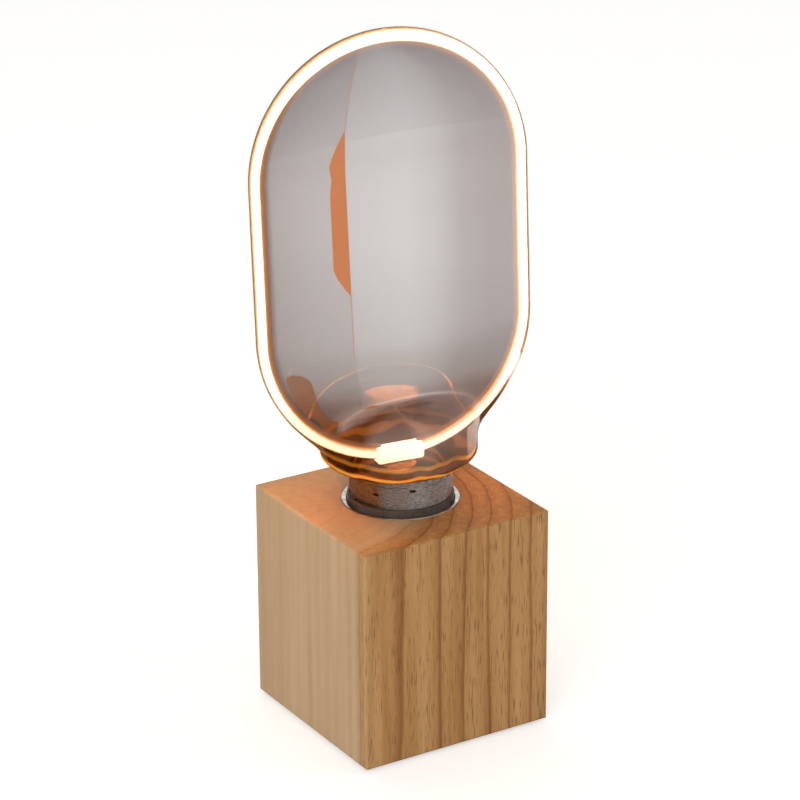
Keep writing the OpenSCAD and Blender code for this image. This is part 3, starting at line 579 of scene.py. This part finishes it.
class LampGlass(bpy.types.Operator):
    """Blows the flat smoked bulb: two skins, the inner one with a mirror film"""
    bl_idname = "lamp.glass"
    bl_label = "Flat glass bulb"

    def execute(self, context):
        glass = context.scene.lamp_glass
        heights = glass_heights(glass)
        turns = [2 * math.pi * k / glass.around for k in range(glass.around)]
        skins = []
        for inset in (0.0, glass.wall):
            rows = [[skin_point(glass, heights, s, inset, t) for t in turns]
                    for s in skin_rows(glass, heights, inset)]
            tip = (0.0, 0.0, heights["high"] + glass.half_width - inset)
            skins.append((rows, tip))
        (outer, outer_tip), (inner, inner_tip) = skins
        mesh = grid_mesh("smoked_bulb", list(reversed(inner)) + outer,
                         caps=(inner_tip, outer_tip))
        face_outwards(mesh)
        shade_smooth(mesh)
        mesh.transform(on_glass(glass))
        mesh.materials.append(thin_wall(
            "Smoked soda glass", [(0.0, (0.97, 0.95, 0.93)), (1.0, (0.985, 0.98, 0.975))],
            UNTINTED, front=0.03, behind=0.03, edges=(0.5, 0.3)))
        mesh.materials.append(thin_wall(
            "Smoke mirror film", FILM_PASSED + [(0.64, tuple(glass.smoke))], FILM_MIRRORED,
            front=0.14, behind=glass.mirror, edges=(0.2, 0.6), frost=0.3, ember=0.8))
        inner_count = len(inner) * glass.around
        flags = [1 if all(v < inner_count for v in f.vertices) else 0 for f in mesh.polygons]
        mesh.polygons.foreach_set("material_index", flags)
        piece_object("smoked_bulb", mesh, "bulb", "smoked_glass", "bulb_glass")
        return {"FINISHED"}


# --- Light ---

def loop_points(glass, light, inset, radius):
    """Places along the loop from one end in the end block round to the other, at a distance inset
    from the glass's outside, each with its share of the section's radius there."""
    heights = glass_heights(glass)
    reach = glass.half_width - inset
    foot = math.asin((light.block_length / 2 - light.tube_in) / reach)
    steps = 64
    lower = [foot + (math.pi / 2 - foot) * i / steps for i in range(steps + 1)]
    straight = [heights["low"] + glass.straight * i / 24 for i in range(1, 24)]
    points = [(reach * math.sin(t), heights["low"] - reach * math.cos(t), 1.0) for t in lower]
    points += [(reach, z, 1.0) for z in straight]
    for i in range(2 * steps + 1):
        t = math.pi * i / (2 * steps)
        swell = light.crown_swell * math.sin(t) ** 2
        points.append(((reach - swell) * math.cos(t),
                       heights["high"] + (reach - swell) * math.sin(t), 1 + swell / radius))
    points += [(-reach, z, 1.0) for z in reversed(straight)]
    points += [(-reach * math.sin(t), heights["low"] - reach * math.cos(t), 1.0)
               for t in reversed(lower)]
    return points


def path_object(name, points, place):
    """A poly curve through the points, as the source of a Geometry Nodes sweep."""
    curve = bpy.data.curves.new(name, "CURVE")
    curve.dimensions = "3D"
    spline = curve.splines.new("POLY")
    spline.points.add(len(points) - 1)
    for target, (x, z, share) in zip(spline.points, points):
        target.co = (*(place @ Vector((x, 0.0, z))), 1.0)
        target.radius = share
    made = bpy.data.objects.new(name, curve)
    bpy.context.scene.collection.objects.link(made)
    return made


def sweep_tree():
    """Geometry Nodes that sweep a round or flattened section along a path, scaled by the path's
    radius, with how far across it each point lies, 0 at the outer and 1 at the inner side."""
    tree, given = new_geometry_tree("Round sweep", "Tube", {
        "Path": "Geometry", "Radius": "Float", "Flatness": "Float", "Sides": "Int",
        "Material": "Material"})
    section = node(tree, "GeometryNodeCurvePrimitiveCircle",
                   {"Resolution": given["Sides"], "Radius": given["Radius"]})
    place = node(tree, "GeometryNodeInputPosition")
    rise = node(tree, "SeparateXYZ", [place]).outputs["Y"]
    edge = node(tree, "Math", [given["Radius"], -1.0], operation="MULTIPLY")
    across = node(tree, "MapRange", [rise, given["Radius"], edge])
    marked = node(tree, "GeometryNodeStoreNamedAttribute",
                  {"Geometry": section, "Name": "across", "Value": across})
    ratio = node(tree, "CombineXYZ", [given["Flatness"], 1.0, 1.0])
    flat = node(tree, "GeometryNodeTransform", {"Geometry": marked, "Scale": ratio})
    swept = node(tree, "GeometryNodeCurveToMesh",
                 {"Curve": given["Path"], "Profile Curve": flat,
                  "Scale": node(tree, "GeometryNodeInputRadius"), "Fill Caps": True})
    smooth = node(tree, "GeometryNodeSetShadeSmooth", {"Geometry": swept})
    return end_tree(tree, smooth, given["Material"])


def new_geometry_tree(name, output, inputs):
    """A Geometry Nodes tree with one output and named inputs, and what its inputs give."""
    tree = bpy.data.node_groups.new(name, "GeometryNodeTree")
    for socket, kind in inputs.items():
        tree.interface.new_socket(socket, in_out="INPUT", socket_type="NodeSocket" + kind)
    tree.interface.new_socket(output, in_out="OUTPUT", socket_type="NodeSocketGeometry")
    return tree, node(tree, "NodeGroupInput").outputs


def end_tree(tree, shape, material):
    """Makes a tree's result real, gives it its material and hands it out."""
    real = node(tree, "GeometryNodeRealizeInstances", {"Geometry": shape})
    dressed = node(tree, "GeometryNodeSetMaterial", {"Geometry": real, "Material": material})
    node(tree, "NodeGroupOutput", [dressed])
    return tree


def add_nodes(target, tree, values):
    """Adds a Geometry Nodes modifier and sets its named inputs by their sockets' identifiers."""
    modifier = target.modifiers.new(tree.name, "NODES")
    modifier.node_group = tree
    for item in tree.interface.items_tree:
        if item.in_out == "INPUT" and item.name in values:
            modifier[item.identifier] = values[item.name]
    return modifier


class LampLight(bpy.types.Operator):
    """Lays the silicone light loop with its glowing core round inside the glass"""
    bl_idname = "lamp.light"
    bl_label = "Light loop"

    def execute(self, context):
        glass, light = context.scene.lamp_glass, context.scene.lamp_light
        place = on_glass(glass)
        tree = sweep_tree()
        middle = glass.wall + light.tube_gap + light.tube_radius
        core = glowing("Phosphor core", light.glow, vary=0.03, seen=CORE_SHADES,
                       mirrored=(30.0, 12.0, 1.2))
        for name, inset, radius, flatness, sides, material in (
                ("light_tube", middle, light.tube_radius, 1.0, 24, amber_silicone()),
                ("light_core", middle, light.core_radius, 1.0, 16, core),
                ("light_web", light.web_reach, light.web_width, light.web_flat, 16,
                 web_painted_glow())):
            source = path_object(name, loop_points(glass, light, inset, radius), place)
            add_nodes(source, tree, {"Radius": radius, "Flatness": flatness, "Sides": sides,
                                     "Material": material})
            baked(name, source, "bulb", "amber_silicone", "light_loop")
        return {"FINISHED"}


class LampEndBlock(bpy.types.Operator):
    """Models the lit block in the bowl that joins both ends of the loop"""
    bl_idname = "lamp.end_block"
    bl_label = "End block"

    def execute(self, context):
        glass, light = context.scene.lamp_glass, context.scene.lamp_light
        heights = glass_heights(glass)
        reach = glass.half_width - glass.wall - light.tube_gap - light.tube_radius
        size = (light.block_length, light.block_depth, light.block_height)
        work = bmesh.new()
        bmesh.ops.create_cube(work, size=1.0)
        bmesh.ops.scale(work, vec=size, verts=work.verts)
        bmesh.ops.bevel(work, geom=list(work.edges), offset=light.block_height / 6, segments=4,
                        profile=0.5, affect="EDGES")
        bmesh.ops.translate(work, vec=(0, 0, heights["low"] - reach), verts=work.verts)
        work.transform(on_glass(glass))
        mesh = bpy.data.meshes.new("end_block")
        work.to_mesh(mesh)
        work.free()
        shade_smooth(mesh, math.radians(40))
        mesh.materials.append(glowing("Lit frosted ceramic", light.block_glow, vary=0.05,
                                      seen=[(0.0, (12.0, 10.5, 8.6))],
                                      mirrored=(24.0, 10.0, 1.6)))
        piece_object("end_block", mesh, "bulb", "white_ceramic", "loop_end_block")
        return {"FINISHED"}


# --- Metal ---

def thread_radii(metal, crest, height, share, steps=144):
    """Radii round a rolled right-hand screw at a height below the cap's rim, evenly turned. share
    is how much of the thread's depth there is, 0 at its ends."""
    waves = [0.5 + 0.5 * math.cos(2 * math.pi * (height / metal.pitch - k / steps))
             for k in range(steps)]
    return [crest - metal.thread_depth * share * (1 - wave ** 0.8) for wave in waves]


class LampCap(bpy.types.Operator):
    """Rolls the screw cap: rounded rim, groove, plain skirt and thread in thin sheet"""
    bl_idname = "lamp.cap"
    bl_label = "Screw cap"

    def execute(self, context):
        metal = context.scene.lamp_metal
        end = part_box("cap_shell")[0].z - CAP_RIM
        rim_round, groove = 1.1 * MM, 0.3 * MM
        shoulder, tip = 2.0 * MM, 9.5 * MM
        thread_top = -metal.skirt_height
        outline = [(r, z, 0.0) for r, z in arc((CAP_SKIRT_R - rim_round, -rim_round), rim_round,
                                               75, 0, 8)]
        outline += [(CAP_SKIRT_R - groove * math.sin(math.pi * i / 6),
                     -rim_round - groove - 2 * groove * i / 6, 0.0) for i in range(7)]
        outline += [(CAP_SKIRT_R, thread_top + 0.9 * MM, 0.0)]
        outline += [(CAP_SKIRT_R - 0.03 * MM, thread_top + 0.7 * MM, 0.0)]
        low = end + shoulder
        steps = 90
        for i in range(steps + 1):
            z = thread_top + 0.5 * MM + (low - thread_top - 0.5 * MM) * i / steps
            share = clamp(i / 7) * clamp((steps - i) / 9)
            outline.append((metal.crest_radius, z, share))
        outline += [(r, z, 0.0) for r, z in arc((metal.crest_radius - shoulder, low), shoulder,
                                                0, -90, 8)][1:]
        outline += [(tip, end, 0.0)]
        outer = [ring(thread_radii(metal, r, z, share), CAP_RIM + z) for r, z, share in outline]
        inner = [ring([reach - metal.sheet for reach in thread_radii(metal, r, z, share)],
                      CAP_RIM + z + (metal.sheet if z == end else 0.0))
                 for r, z, share in outline]
        mesh = grid_mesh("screw_cap", outer + inner[::-1], closed_rows=True)
        face_outwards(mesh)
        shade_smooth(mesh, math.radians(50))
        mesh.materials.append(cap_nickel())
        piece_object("screw_cap", mesh, "bulb", "cap_nickel", "cap_shell")
        return {"FINISHED"}


def cap_nickel():
    """Nickel plated brass cap, brushed round and used: scratched, with a few tarnish pits."""
    return round_metal("Scratched cap nickel", "#8F8B88", "#F0EDEA", roughness=0.5, scratch=0.14,
                       brushed=0.95, pits=1.0)


class LampSocket(bpy.types.Operator):
    """Makes the bright cup that lines the hole, with its rim's lip turned in"""
    bl_idname = "lamp.socket"
    bl_label = "Lamp holder metal"

    def execute(self, context):
        metal = context.scene.lamp_metal
        bright = round_metal("Bright nickel plate", "#B9B7B4", "#F2F1EE", roughness=0.08,
                             scratch=0.1)
        wall = 0.35 * MM
        inner = CUP_R - wall
        lip_r = SLEEVE_R + 0.15 * MM
        floor_r, floor_t = 5.05 * MM, 1.0 * MM
        profile = [(floor_r, CUP_BOTTOM), (CUP_R - 0.3 * MM, CUP_BOTTOM),
                   (CUP_R, CUP_BOTTOM + 0.3 * MM), (CUP_R, CUP_TOP - wall / 2)]
        profile += arc((CUP_R - wall / 2, CUP_TOP - wall / 2), wall / 2, 15, 85, 6)
        profile += arc((lip_r + wall / 2, CUP_TOP - 0.1 * MM - wall / 2), wall / 2, 90, 270, 10)
        profile += [(inner, CUP_TOP - wall - 0.1 * MM), (inner, CUP_BOTTOM + floor_t),
                    (floor_r, CUP_BOTTOM + floor_t)]
        mesh = revolve("rim_cup", profile)
        shade_smooth(mesh, math.radians(40))
        mesh.materials.append(bright)
        piece_object("rim_cup", mesh, "base", "bright_nickel", "socket_cup")
        return {"FINISHED"}


def screw_tree():
    """Geometry Nodes that cut a cross slot into a screw and set it on a ring of places."""
    tree, given = new_geometry_tree("Screw ring", "Screws", {
        "Screw": "Geometry", "Count": "Int", "Place": "Float", "Start": "Float",
        "Slot": "Vector", "Height": "Float", "Material": "Material"})
    bar = node(tree, "GeometryNodeMeshCube", {"Size": given["Slot"]})
    low = node(tree, "CombineXYZ", {2: given["Height"]})
    first = node(tree, "GeometryNodeTransform", {"Geometry": bar, "Translation": low})
    second = node(tree, "GeometryNodeTransform",
                  {"Geometry": bar, "Translation": low, "Rotation": (0, 0, math.pi / 2)})
    cut = node(tree, "GeometryNodeMeshBoolean",
               {"Mesh 1": given["Screw"], "Mesh 2": first}, operation="DIFFERENCE")
    crossed = node(tree, "GeometryNodeMeshBoolean", {"Mesh 1": cut, "Mesh 2": second},
                   operation="DIFFERENCE")
    circle = node(tree, "GeometryNodeMeshCircle",
                  {"Vertices": given["Count"], "Radius": given["Place"]})
    turn = node(tree, "CombineXYZ", {2: given["Start"]})
    places = node(tree, "GeometryNodeTransform", {"Geometry": circle, "Rotation": turn})
    set_out = node(tree, "GeometryNodeInstanceOnPoints", {"Points": places, "Instance": crossed})
    return end_tree(tree, set_out, given["Material"])


class LampCoverScrews(bpy.types.Operator):
    """Sets the countersunk cross slot screws in the cover"""
    bl_idname = "lamp.cover_screws"
    bl_label = "Cover screws"

    def execute(self, context):
        metal = context.scene.lamp_metal
        low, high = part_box("cover_screws")[0].z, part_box("cover_screws")[1].z
        thick, groove, pitch = metal.screw_radius, 0.28 * MM, 1.1 * MM
        shank, point = low + metal.screw_head, high - 1.2 * MM
        profile = [(0.0, low), (thick + metal.screw_head - 0.05 * MM, low),
                   (thick + metal.screw_head, low + 0.06 * MM), (thick, shank)]
        turns = int((point - shank) / pitch)
        for i in range(turns):
            z = shank + pitch * (i + 0.5)
            profile += [(thick - groove, z), (thick, z + pitch / 2)]
        profile += [(thick - groove, point), (0.2 * MM, high), (0.0, high)]
        mesh = revolve("cover_screw", profile, 32)
        shade_smooth(mesh, math.radians(30))
        source = bpy.data.objects.new("cover_screw", mesh)
        context.scene.collection.objects.link(source)
        finish = cast_finish("Zinc plated screw steel", "#8E9196", "#C3C6CA", 0.3, 0.4 * MM,
                             metallic=1.0)
        deep = metal.screw_head
        add_nodes(source, screw_tree(), {
            "Count": metal.screws, "Place": metal.screw_place, "Start": metal.screw_start,
            "Slot": (2.2 * thick, 0.5 * MM, deep), "Height": low, "Material": finish})
        baked("cover_screw_set", source, "base", "zinc_steel", "cover_screws")
        return {"FINISHED"}


class LampShell(bpy.types.Operator):
    """Rolls the holder's screw shell, with a thread that mates with the cap's"""
    bl_idname = "lamp.shell"
    bl_label = "Screw shell"

    def execute(self, context):
        metal = context.scene.lamp_metal
        gap, sheet, bottom, edge = 0.05 * MM, 0.3 * MM, 0.4 * MM, 0.1 * MM
        steps, run_out = 96, 5  # rows of the thread, and those over which it starts and ends
        inner, outer = [], []
        for i in range(steps + 1):
            z = SHELL_BOTTOM + bottom + (SHELL_TOP - SHELL_BOTTOM - bottom) * i / steps
            share = clamp(i / run_out) * clamp((steps - i) / run_out)
            bore = [reach + gap
                    for reach in thread_radii(metal, metal.crest_radius, z - CAP_RIM, share)]
            inner.append(ring(bore, z))
            outer.append(ring([min(reach + sheet, SHELL_R) for reach in bore], z))
        foot = [ring([r] * len(bore), z) for r, z in (
            (SHELL_FOOT_R, SHELL_BOTTOM + bottom), (SHELL_FOOT_R, SHELL_BOTTOM),
            (SHELL_R - edge, SHELL_BOTTOM), (SHELL_R, SHELL_BOTTOM + edge))]
        mesh = grid_mesh("threaded_shell", foot + outer + inner[::-1], closed_rows=True)
        face_outwards(mesh)
        shade_smooth(mesh, math.radians(50))
        mesh.materials.append(round_metal("Rolled brass", "#A8823A", "#DDBB6C", roughness=0.22,
                                          scratch=0.1))
        piece_object("threaded_shell", mesh, "base", "spring_brass", "screw_shell")
        return {"FINISHED"}


# --- Finishes of the pieces that come from the CAD model ---

# Each with its darker and lighter tone, its roughness, the size of its fine relief in mm, its other
# settings and the CAD nodes that wear it
CAST_FINISHES = (
    ("Brown black phenolic", "#3A312D", "#544842", 0.3, 0.4, {},
     ("holder_dome", "holder_sleeve", "cap_insulator")),
    ("Glazed porcelain", "#DAD4C6", "#EEEAE0", 0.18, 0.8, {"ior": 1.55}, ("contact_carrier",)),
    ("Spring brass", "#B08A3A", "#D9B865", 0.3, 0.3, {"metallic": 1.0},
     ("shell_rivet", "contact_foot", "contact_rivet", "contact_leaf", "terminal_blocks",
      "cap_contact")),
    ("Zinc plated steel", "#8E9196", "#C3C6CA", 0.34, 0.5, {"metallic": 1.0},
     ("terminal_screws", "threaded_nipple", "nipple_washer", "nipple_nut")),
    ("Moulded black nylon", "#19191B", "#262628", 0.46, 0.25, {}, ("base_cover", "outlet_bush")),
    ("Pressed wool felt", "#2E2B2A", "#4A4643", 0.95, 0.35, {"bump": 0.2 * MM}, ("felt_pads",)),
    ("Lamp cement", "#CFC8BA", "#E6E1D6", 0.8, 0.4, {}, ("cap_cement",)),
    ("Nickel wire", "#9C9A96", "#C9C7C2", 0.3, 0.2, {"metallic": 1.0},
     ("support_wires", "supply_wires")),
    ("Green board laminate", "#24593A", "#33754C", 0.38, 0.3, {}, ("driver_board",)),
    ("Capacitor sleeve", "#23272E", "#3A3F49", 0.3, 0.3, {}, ("driver_capacitor",)),
    ("Enamelled copper winding", "#6B3F1E", "#A8662F", 0.32, 0.2, {"metallic": 0.6},
     ("driver_coil",)),
    ("Moulded epoxy", "#1B1B1D", "#2A2A2C", 0.5, 0.2, {}, ("driver_rectifier",)),
    ("Resistor lacquer", "#A6BACA", "#C8D7E2", 0.36, 0.3, {}, ("driver_resistor",)),
)


def dress(material, *names):
    for name in names:
        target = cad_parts[name]
        target.data.materials.clear()
        target.data.materials.append(material)


class LampFinishes(bpy.types.Operator):
    """Gives every piece that stays as it was built its own finish"""
    bl_idname = "lamp.finishes"
    bl_label = "Finishes"

    def execute(self, context):
        dress(oiled_oak(context.scene.lamp_wood), "wood_block")
        for name, low, high, roughness, size, more, names in CAST_FINISHES:
            dress(cast_finish(name, low, high, roughness, size * MM, **more), *names)
        stem_tint = [(0.0, (0.93, 0.95, 0.95)), (1.0, (0.97, 0.98, 0.98))]
        dress(thin_wall("Clear lead glass", stem_tint, UNTINTED, front=0.04, behind=0.04,
                        edges=(0.9, 0.9)), "glass_stem")
        return {"FINISHED"}


# --- Studio ---

def area_lamp(name, place, aim, size, power):
    """A soft lamp that nothing mirrors, since the cards and the room are what is mirrored."""
    data = bpy.data.lights.new(name, "AREA")
    data.shape = "SQUARE"
    data.size = size
    data.energy = power
    made = bpy.data.objects.new(name, data)
    bpy.context.scene.collection.objects.link(made)
    made.visible_glossy = False
    made.location = place
    made.rotation_euler = (Vector(aim) - Vector(place)).to_track_quat("-Z", "Y").to_euler()
    return made


def plain_card(name, colour):
    """One even tone for a studio card."""
    made, tree = new_material(name)
    surface(tree, node(tree, "Emission", {"Color": (*colour, 1), "Strength": 1.0}))
    return made


def card(name, edges, material):
    """A studio card that only mirrored light sees, bent round the lamp. Each row of edges is its
    height, its distance and the azimuths, in degrees, of its left and right side there."""
    steps = 36
    points, faces = [], []
    for z, reach, left, right in edges:
        for i in range(steps + 1):
            a = math.radians(left + (right - left) * i / steps)
            points.append((reach * math.sin(a), -reach * math.cos(a), z))
    for j in range(len(edges) - 1):
        for i in range(steps):
            k = j * (steps + 1) + i
            faces.append((k, k + 1, k + steps + 2, k + steps + 1))
    mesh = bpy.data.meshes.new(name)
    mesh.from_pydata(points, [], faces)
    made = bpy.data.objects.new(name, mesh)
    bpy.context.scene.collection.objects.link(made)
    mesh.materials.append(material)
    made.visible_camera = made.visible_diffuse = made.visible_shadow = False
    made.visible_transmission = False


def streak_rows():
    """Rows of the amber card: a long spindle that leans with the glass, stands for the loop's own
    mirror image and ends above and below in a thin line. Azimuths in degrees, t from foot to top."""
    low, tall, reach, steps = 0.033, 0.142, 0.248, 48
    right_side, lean, line = -13.2, -2.8, 0.25
    rows = []
    for i in range(steps + 1):
        t = i / steps
        wide = 7.0 * clamp((t - 0.01) / 0.05) ** 0.6 * clamp((0.98 - t) / 0.4) ** 0.8
        waist = 1.1 * math.exp(-((t - 0.42) / 0.12) ** 2)
        right = right_side + lean * t
        rows.append((low + tall * t, reach, right - wide + waist - line, right))
    return [(0.0, reach, -12.9, -12.6)] + rows + [(0.5, reach, -16.1, -15.8)]


# The room as glass and metal mirror it, as shares of white: a soft window in front, a little to
# the right, grey walls, and brown wood at both sides. Azimuths in degrees, 0 in front.
WOOD_BROWN = (0.22, 0.075, 0.03)
ROOM_ROUND = [
    (-180, WOOD_BROWN), (-80, WOOD_BROWN),
    (-66, (0.64, 0.59, 0.58)), (-14, (0.81, 0.78, 0.775)), (-11.8, (0.82, 0.785, 0.78)),
    (-11.2, (0.95, 0.94, 0.935)), (8, (1.04, 1.035, 1.04)), (17, (0.94, 0.93, 0.935)),
    (28, (0.73, 0.70, 0.70)), (42, (0.65, 0.61, 0.61)), (88, (0.64, 0.595, 0.59)),
    (98, WOOD_BROWN), (180, WOOD_BROWN)]


def mirrored_room(tree, place, upright, stops):
    """The room's colour in the direction of a place, scaled by stops along upright."""
    axes = node(tree, "SeparateXYZ", [place]).outputs
    front = node(tree, "Math", [axes["Y"], -1.0], operation="MULTIPLY")
    turn = node(tree, "Math", [axes["X"], front], operation="ARCTAN2")
    share = node(tree, "MapRange", [turn, -math.pi, math.pi])
    round_ramp = node(tree, "ValToRGB", [share],
                      stops=[((a + 180) / 360, colour) for a, colour in ROOM_ROUND])
    level = node(tree, "ValToRGB", [upright], stops=[(p, (v, v, v)) for p, v in stops])
    return node(tree, "Mix", {0: 1.0, 6: round_ramp, 7: level},
                data_type="RGBA", blend_type="MULTIPLY").outputs[2]


def pale_floor():
    """Matt white paper sweep. The camera sees it as white, and it keeps the shadow; glass and
    metal mirror the room's light on it, which fades near the lamp."""
    made, tree = new_material("White paper sweep")
    fibre = grain(tree, 3 * MM)
    colour = node(tree, "ValToRGB", [fibre], stops=[(0.3, "#F1F0EE"), (0.7, "#F6F5F3")])
    paper = node(tree, "BsdfPrincipled",
                 {"Base Color": colour, "Roughness": 0.9, "Specular IOR Level": 0.1})
    path = node(tree, "LightPath").outputs
    lift = node(tree, "Math", [path["Is Camera Ray"], 0.48], operation="MULTIPLY")
    shine = node(tree, "Emission", {"Color": (1, 1, 1, 1), "Strength": lift})
    seen = node(tree, "AddShader", [paper, shine])
    place = node(tree, "TexCoord").outputs["Object"]
    reach = node(tree, "VectorMath", [place], operation="LENGTH").outputs["Value"]
    room = mirrored_room(tree, place, reach, [
        (0.07, 0.10), (0.12, 0.5), (0.166, 0.63), (0.233, 0.70), (0.285, 0.79), (0.346, 0.92),
        (0.395, 1.0), (0.47, 0.98), (1.0, 0.9)])
    mirrored = node(tree, "Emission", {"Color": room, "Strength": 1.0})
    surface(tree, node(tree, "MixShader", [path["Is Glossy Ray"], seen, mirrored]))
    return made


def studio_world(sky):
    """White room: full white where it is seen, softer where it lights, and shaded as the room is
    where it is mirrored."""
    world = bpy.data.worlds.new("White studio")
    world.use_nodes = True
    tree = world.node_tree
    tree.nodes.clear()
    path = node(tree, "LightPath").outputs
    seen = node(tree, "Math", [path["Is Camera Ray"], path["Is Transmission Ray"]],
                operation="MAXIMUM")
    level = node(tree, "MapRange", {0: seen, 3: sky, 4: 1.0})
    plain = node(tree, "Background", {"Color": (1, 1, 1, 1), "Strength": level})
    way = node(tree, "TexCoord").outputs["Generated"]
    up = node(tree, "SeparateXYZ", [way]).outputs["Z"]
    room = mirrored_room(tree, way, up, [
        (0.0, 0.82), (0.28, 0.69), (0.6, 0.58), (0.87, 0.46), (0.95, 0.3)])
    walls = node(tree, "Background", {"Color": room, "Strength": 1.0})
    glow = node(tree, "MixShader", [path["Is Glossy Ray"], plain, walls])
    node(tree, "OutputWorld", {"Surface": glow})
    bpy.context.scene.world = world


class LampStudio(bpy.types.Operator):
    """Sets the white floor, the soft lamps, the world and the camera"""
    bl_idname = "lamp.studio"
    bl_label = "Studio"

    def execute(self, context):
        scene, studio = context.scene, context.scene.lamp_studio
        bpy.ops.mesh.primitive_plane_add(size=12.0, location=(0, 0, 0))
        floor = context.object
        floor.name = "floor"
        floor.data.materials.append(pale_floor())
        studio_world(studio.sky)
        card("amber_card", streak_rows(), plain_card("Amber card", (0.9, 0.24, 0.02)))
        card("brown_card", [(0.001, 0.08, -68, -44), (0.001, 0.15, -68, -40),
                            (0.008, 0.15, -66, -41), (0.016, 0.15, -58, -47)],
             plain_card("Brown card", (0.36, 0.15, 0.07)))
        card("bowl_card", [(0.038, 0.1, 78, 122), (0.056, 0.1, 78, 122)],
             plain_card("Bowl card", (1.3, 1.25, 1.22)))
        card("rim_card", [(0.085, 0.14, 118, 178), (0.15, 0.14, 118, 178)],
             plain_card("Rim card", (0.8, 0.76, 0.73)))
        middle = (0, 0, 0.08)
        area_lamp("key_lamp", (-1.02, -0.84, 0.34), middle, 0.8, 10.5)
        area_lamp("fill_lamp", (1.0, -0.7, 0.4), middle, 0.8, 3.0)
        area_lamp("top_lamp", (0.1, 0.5, 1.2), middle, 0.6, 1.5)
        a, e, roll = studio.view_azimuth, studio.view_elevation, studio.view_roll
        back = Vector((math.sin(a) * math.cos(e), -math.cos(a) * math.cos(e), math.sin(e)))
        right = (-back).cross(Vector((0, 0, 1))).normalized()
        up = right.cross(-back)
        side = right * math.cos(roll) + up * math.sin(roll)
        rise = -right * math.sin(roll) + up * math.cos(roll)
        block_middle = Vector((0, 0, BLOCK_TOP / 2))
        spot = block_middle + back * studio.view_distance + up * studio.view_rise
        data = bpy.data.cameras.new("camera")
        data.sensor_width = 36.0
        data.lens = studio.lens
        data.clip_end = 50.0
        camera = bpy.data.objects.new("camera", data)
        scene.collection.objects.link(camera)
        turned = Matrix((side, rise, back)).transposed().to_4x4()
        camera.matrix_world = Matrix.Translation(spot) @ turned
        scene.camera = camera
        scene.view_settings.view_transform = "Standard"
        scene.cycles.transparent_max_bounces = 32
        scene.cycles.glossy_bounces = 10
        scene.cycles.max_bounces = 20
        return {"FINISHED"}


class LampPanel(bpy.types.Panel):
    """Lists the lamp's pieces in the sidebar"""
    bl_idname = "VIEW3D_PT_lamp"
    bl_label = "Bare bulb table lamp"
    bl_space_type = "VIEW_3D"
    bl_region_type = "UI"
    bl_category = "Lamp"

    def draw(self, context):
        for step in STEPS:
            self.layout.operator(step.bl_idname)
        for group in GROUPS:
            self.layout.separator()
            settings = getattr(context.scene, group)
            for name in settings.bl_rna.properties.keys():
                if name not in ("rna_type", "name"):
                    self.layout.prop(settings, name)


GROUPS = {
    "lamp_glass": LampGlassSettings,
    "lamp_light": LampLightSettings,
    "lamp_metal": LampMetalSettings,
    "lamp_wood": LampWoodSettings,
    "lamp_studio": LampStudioSettings,
}
STEPS = (LampStudio, LampFinishes, LampSocket, LampShell, LampCoverScrews, LampCap, LampGlass,
         LampLight, LampEndBlock)


def register():
    for group, kind in GROUPS.items():
        bpy.utils.register_class(kind)
        setattr(bpy.types.Scene, group, PointerProperty(type=kind))
    for kind in (*STEPS, LampPanel):
        bpy.utils.register_class(kind)


def unregister():
    for kind in (LampPanel, *reversed(STEPS)):
        bpy.utils.unregister_class(kind)
    for group, kind in GROUPS.items():
        delattr(bpy.types.Scene, group)
        bpy.utils.unregister_class(kind)


def main():
    register()
    for step in STEPS:
        area, name = step.bl_idname.split(".")
        getattr(getattr(bpy.ops, area), name)()


if __name__ == "__main__":
    main()
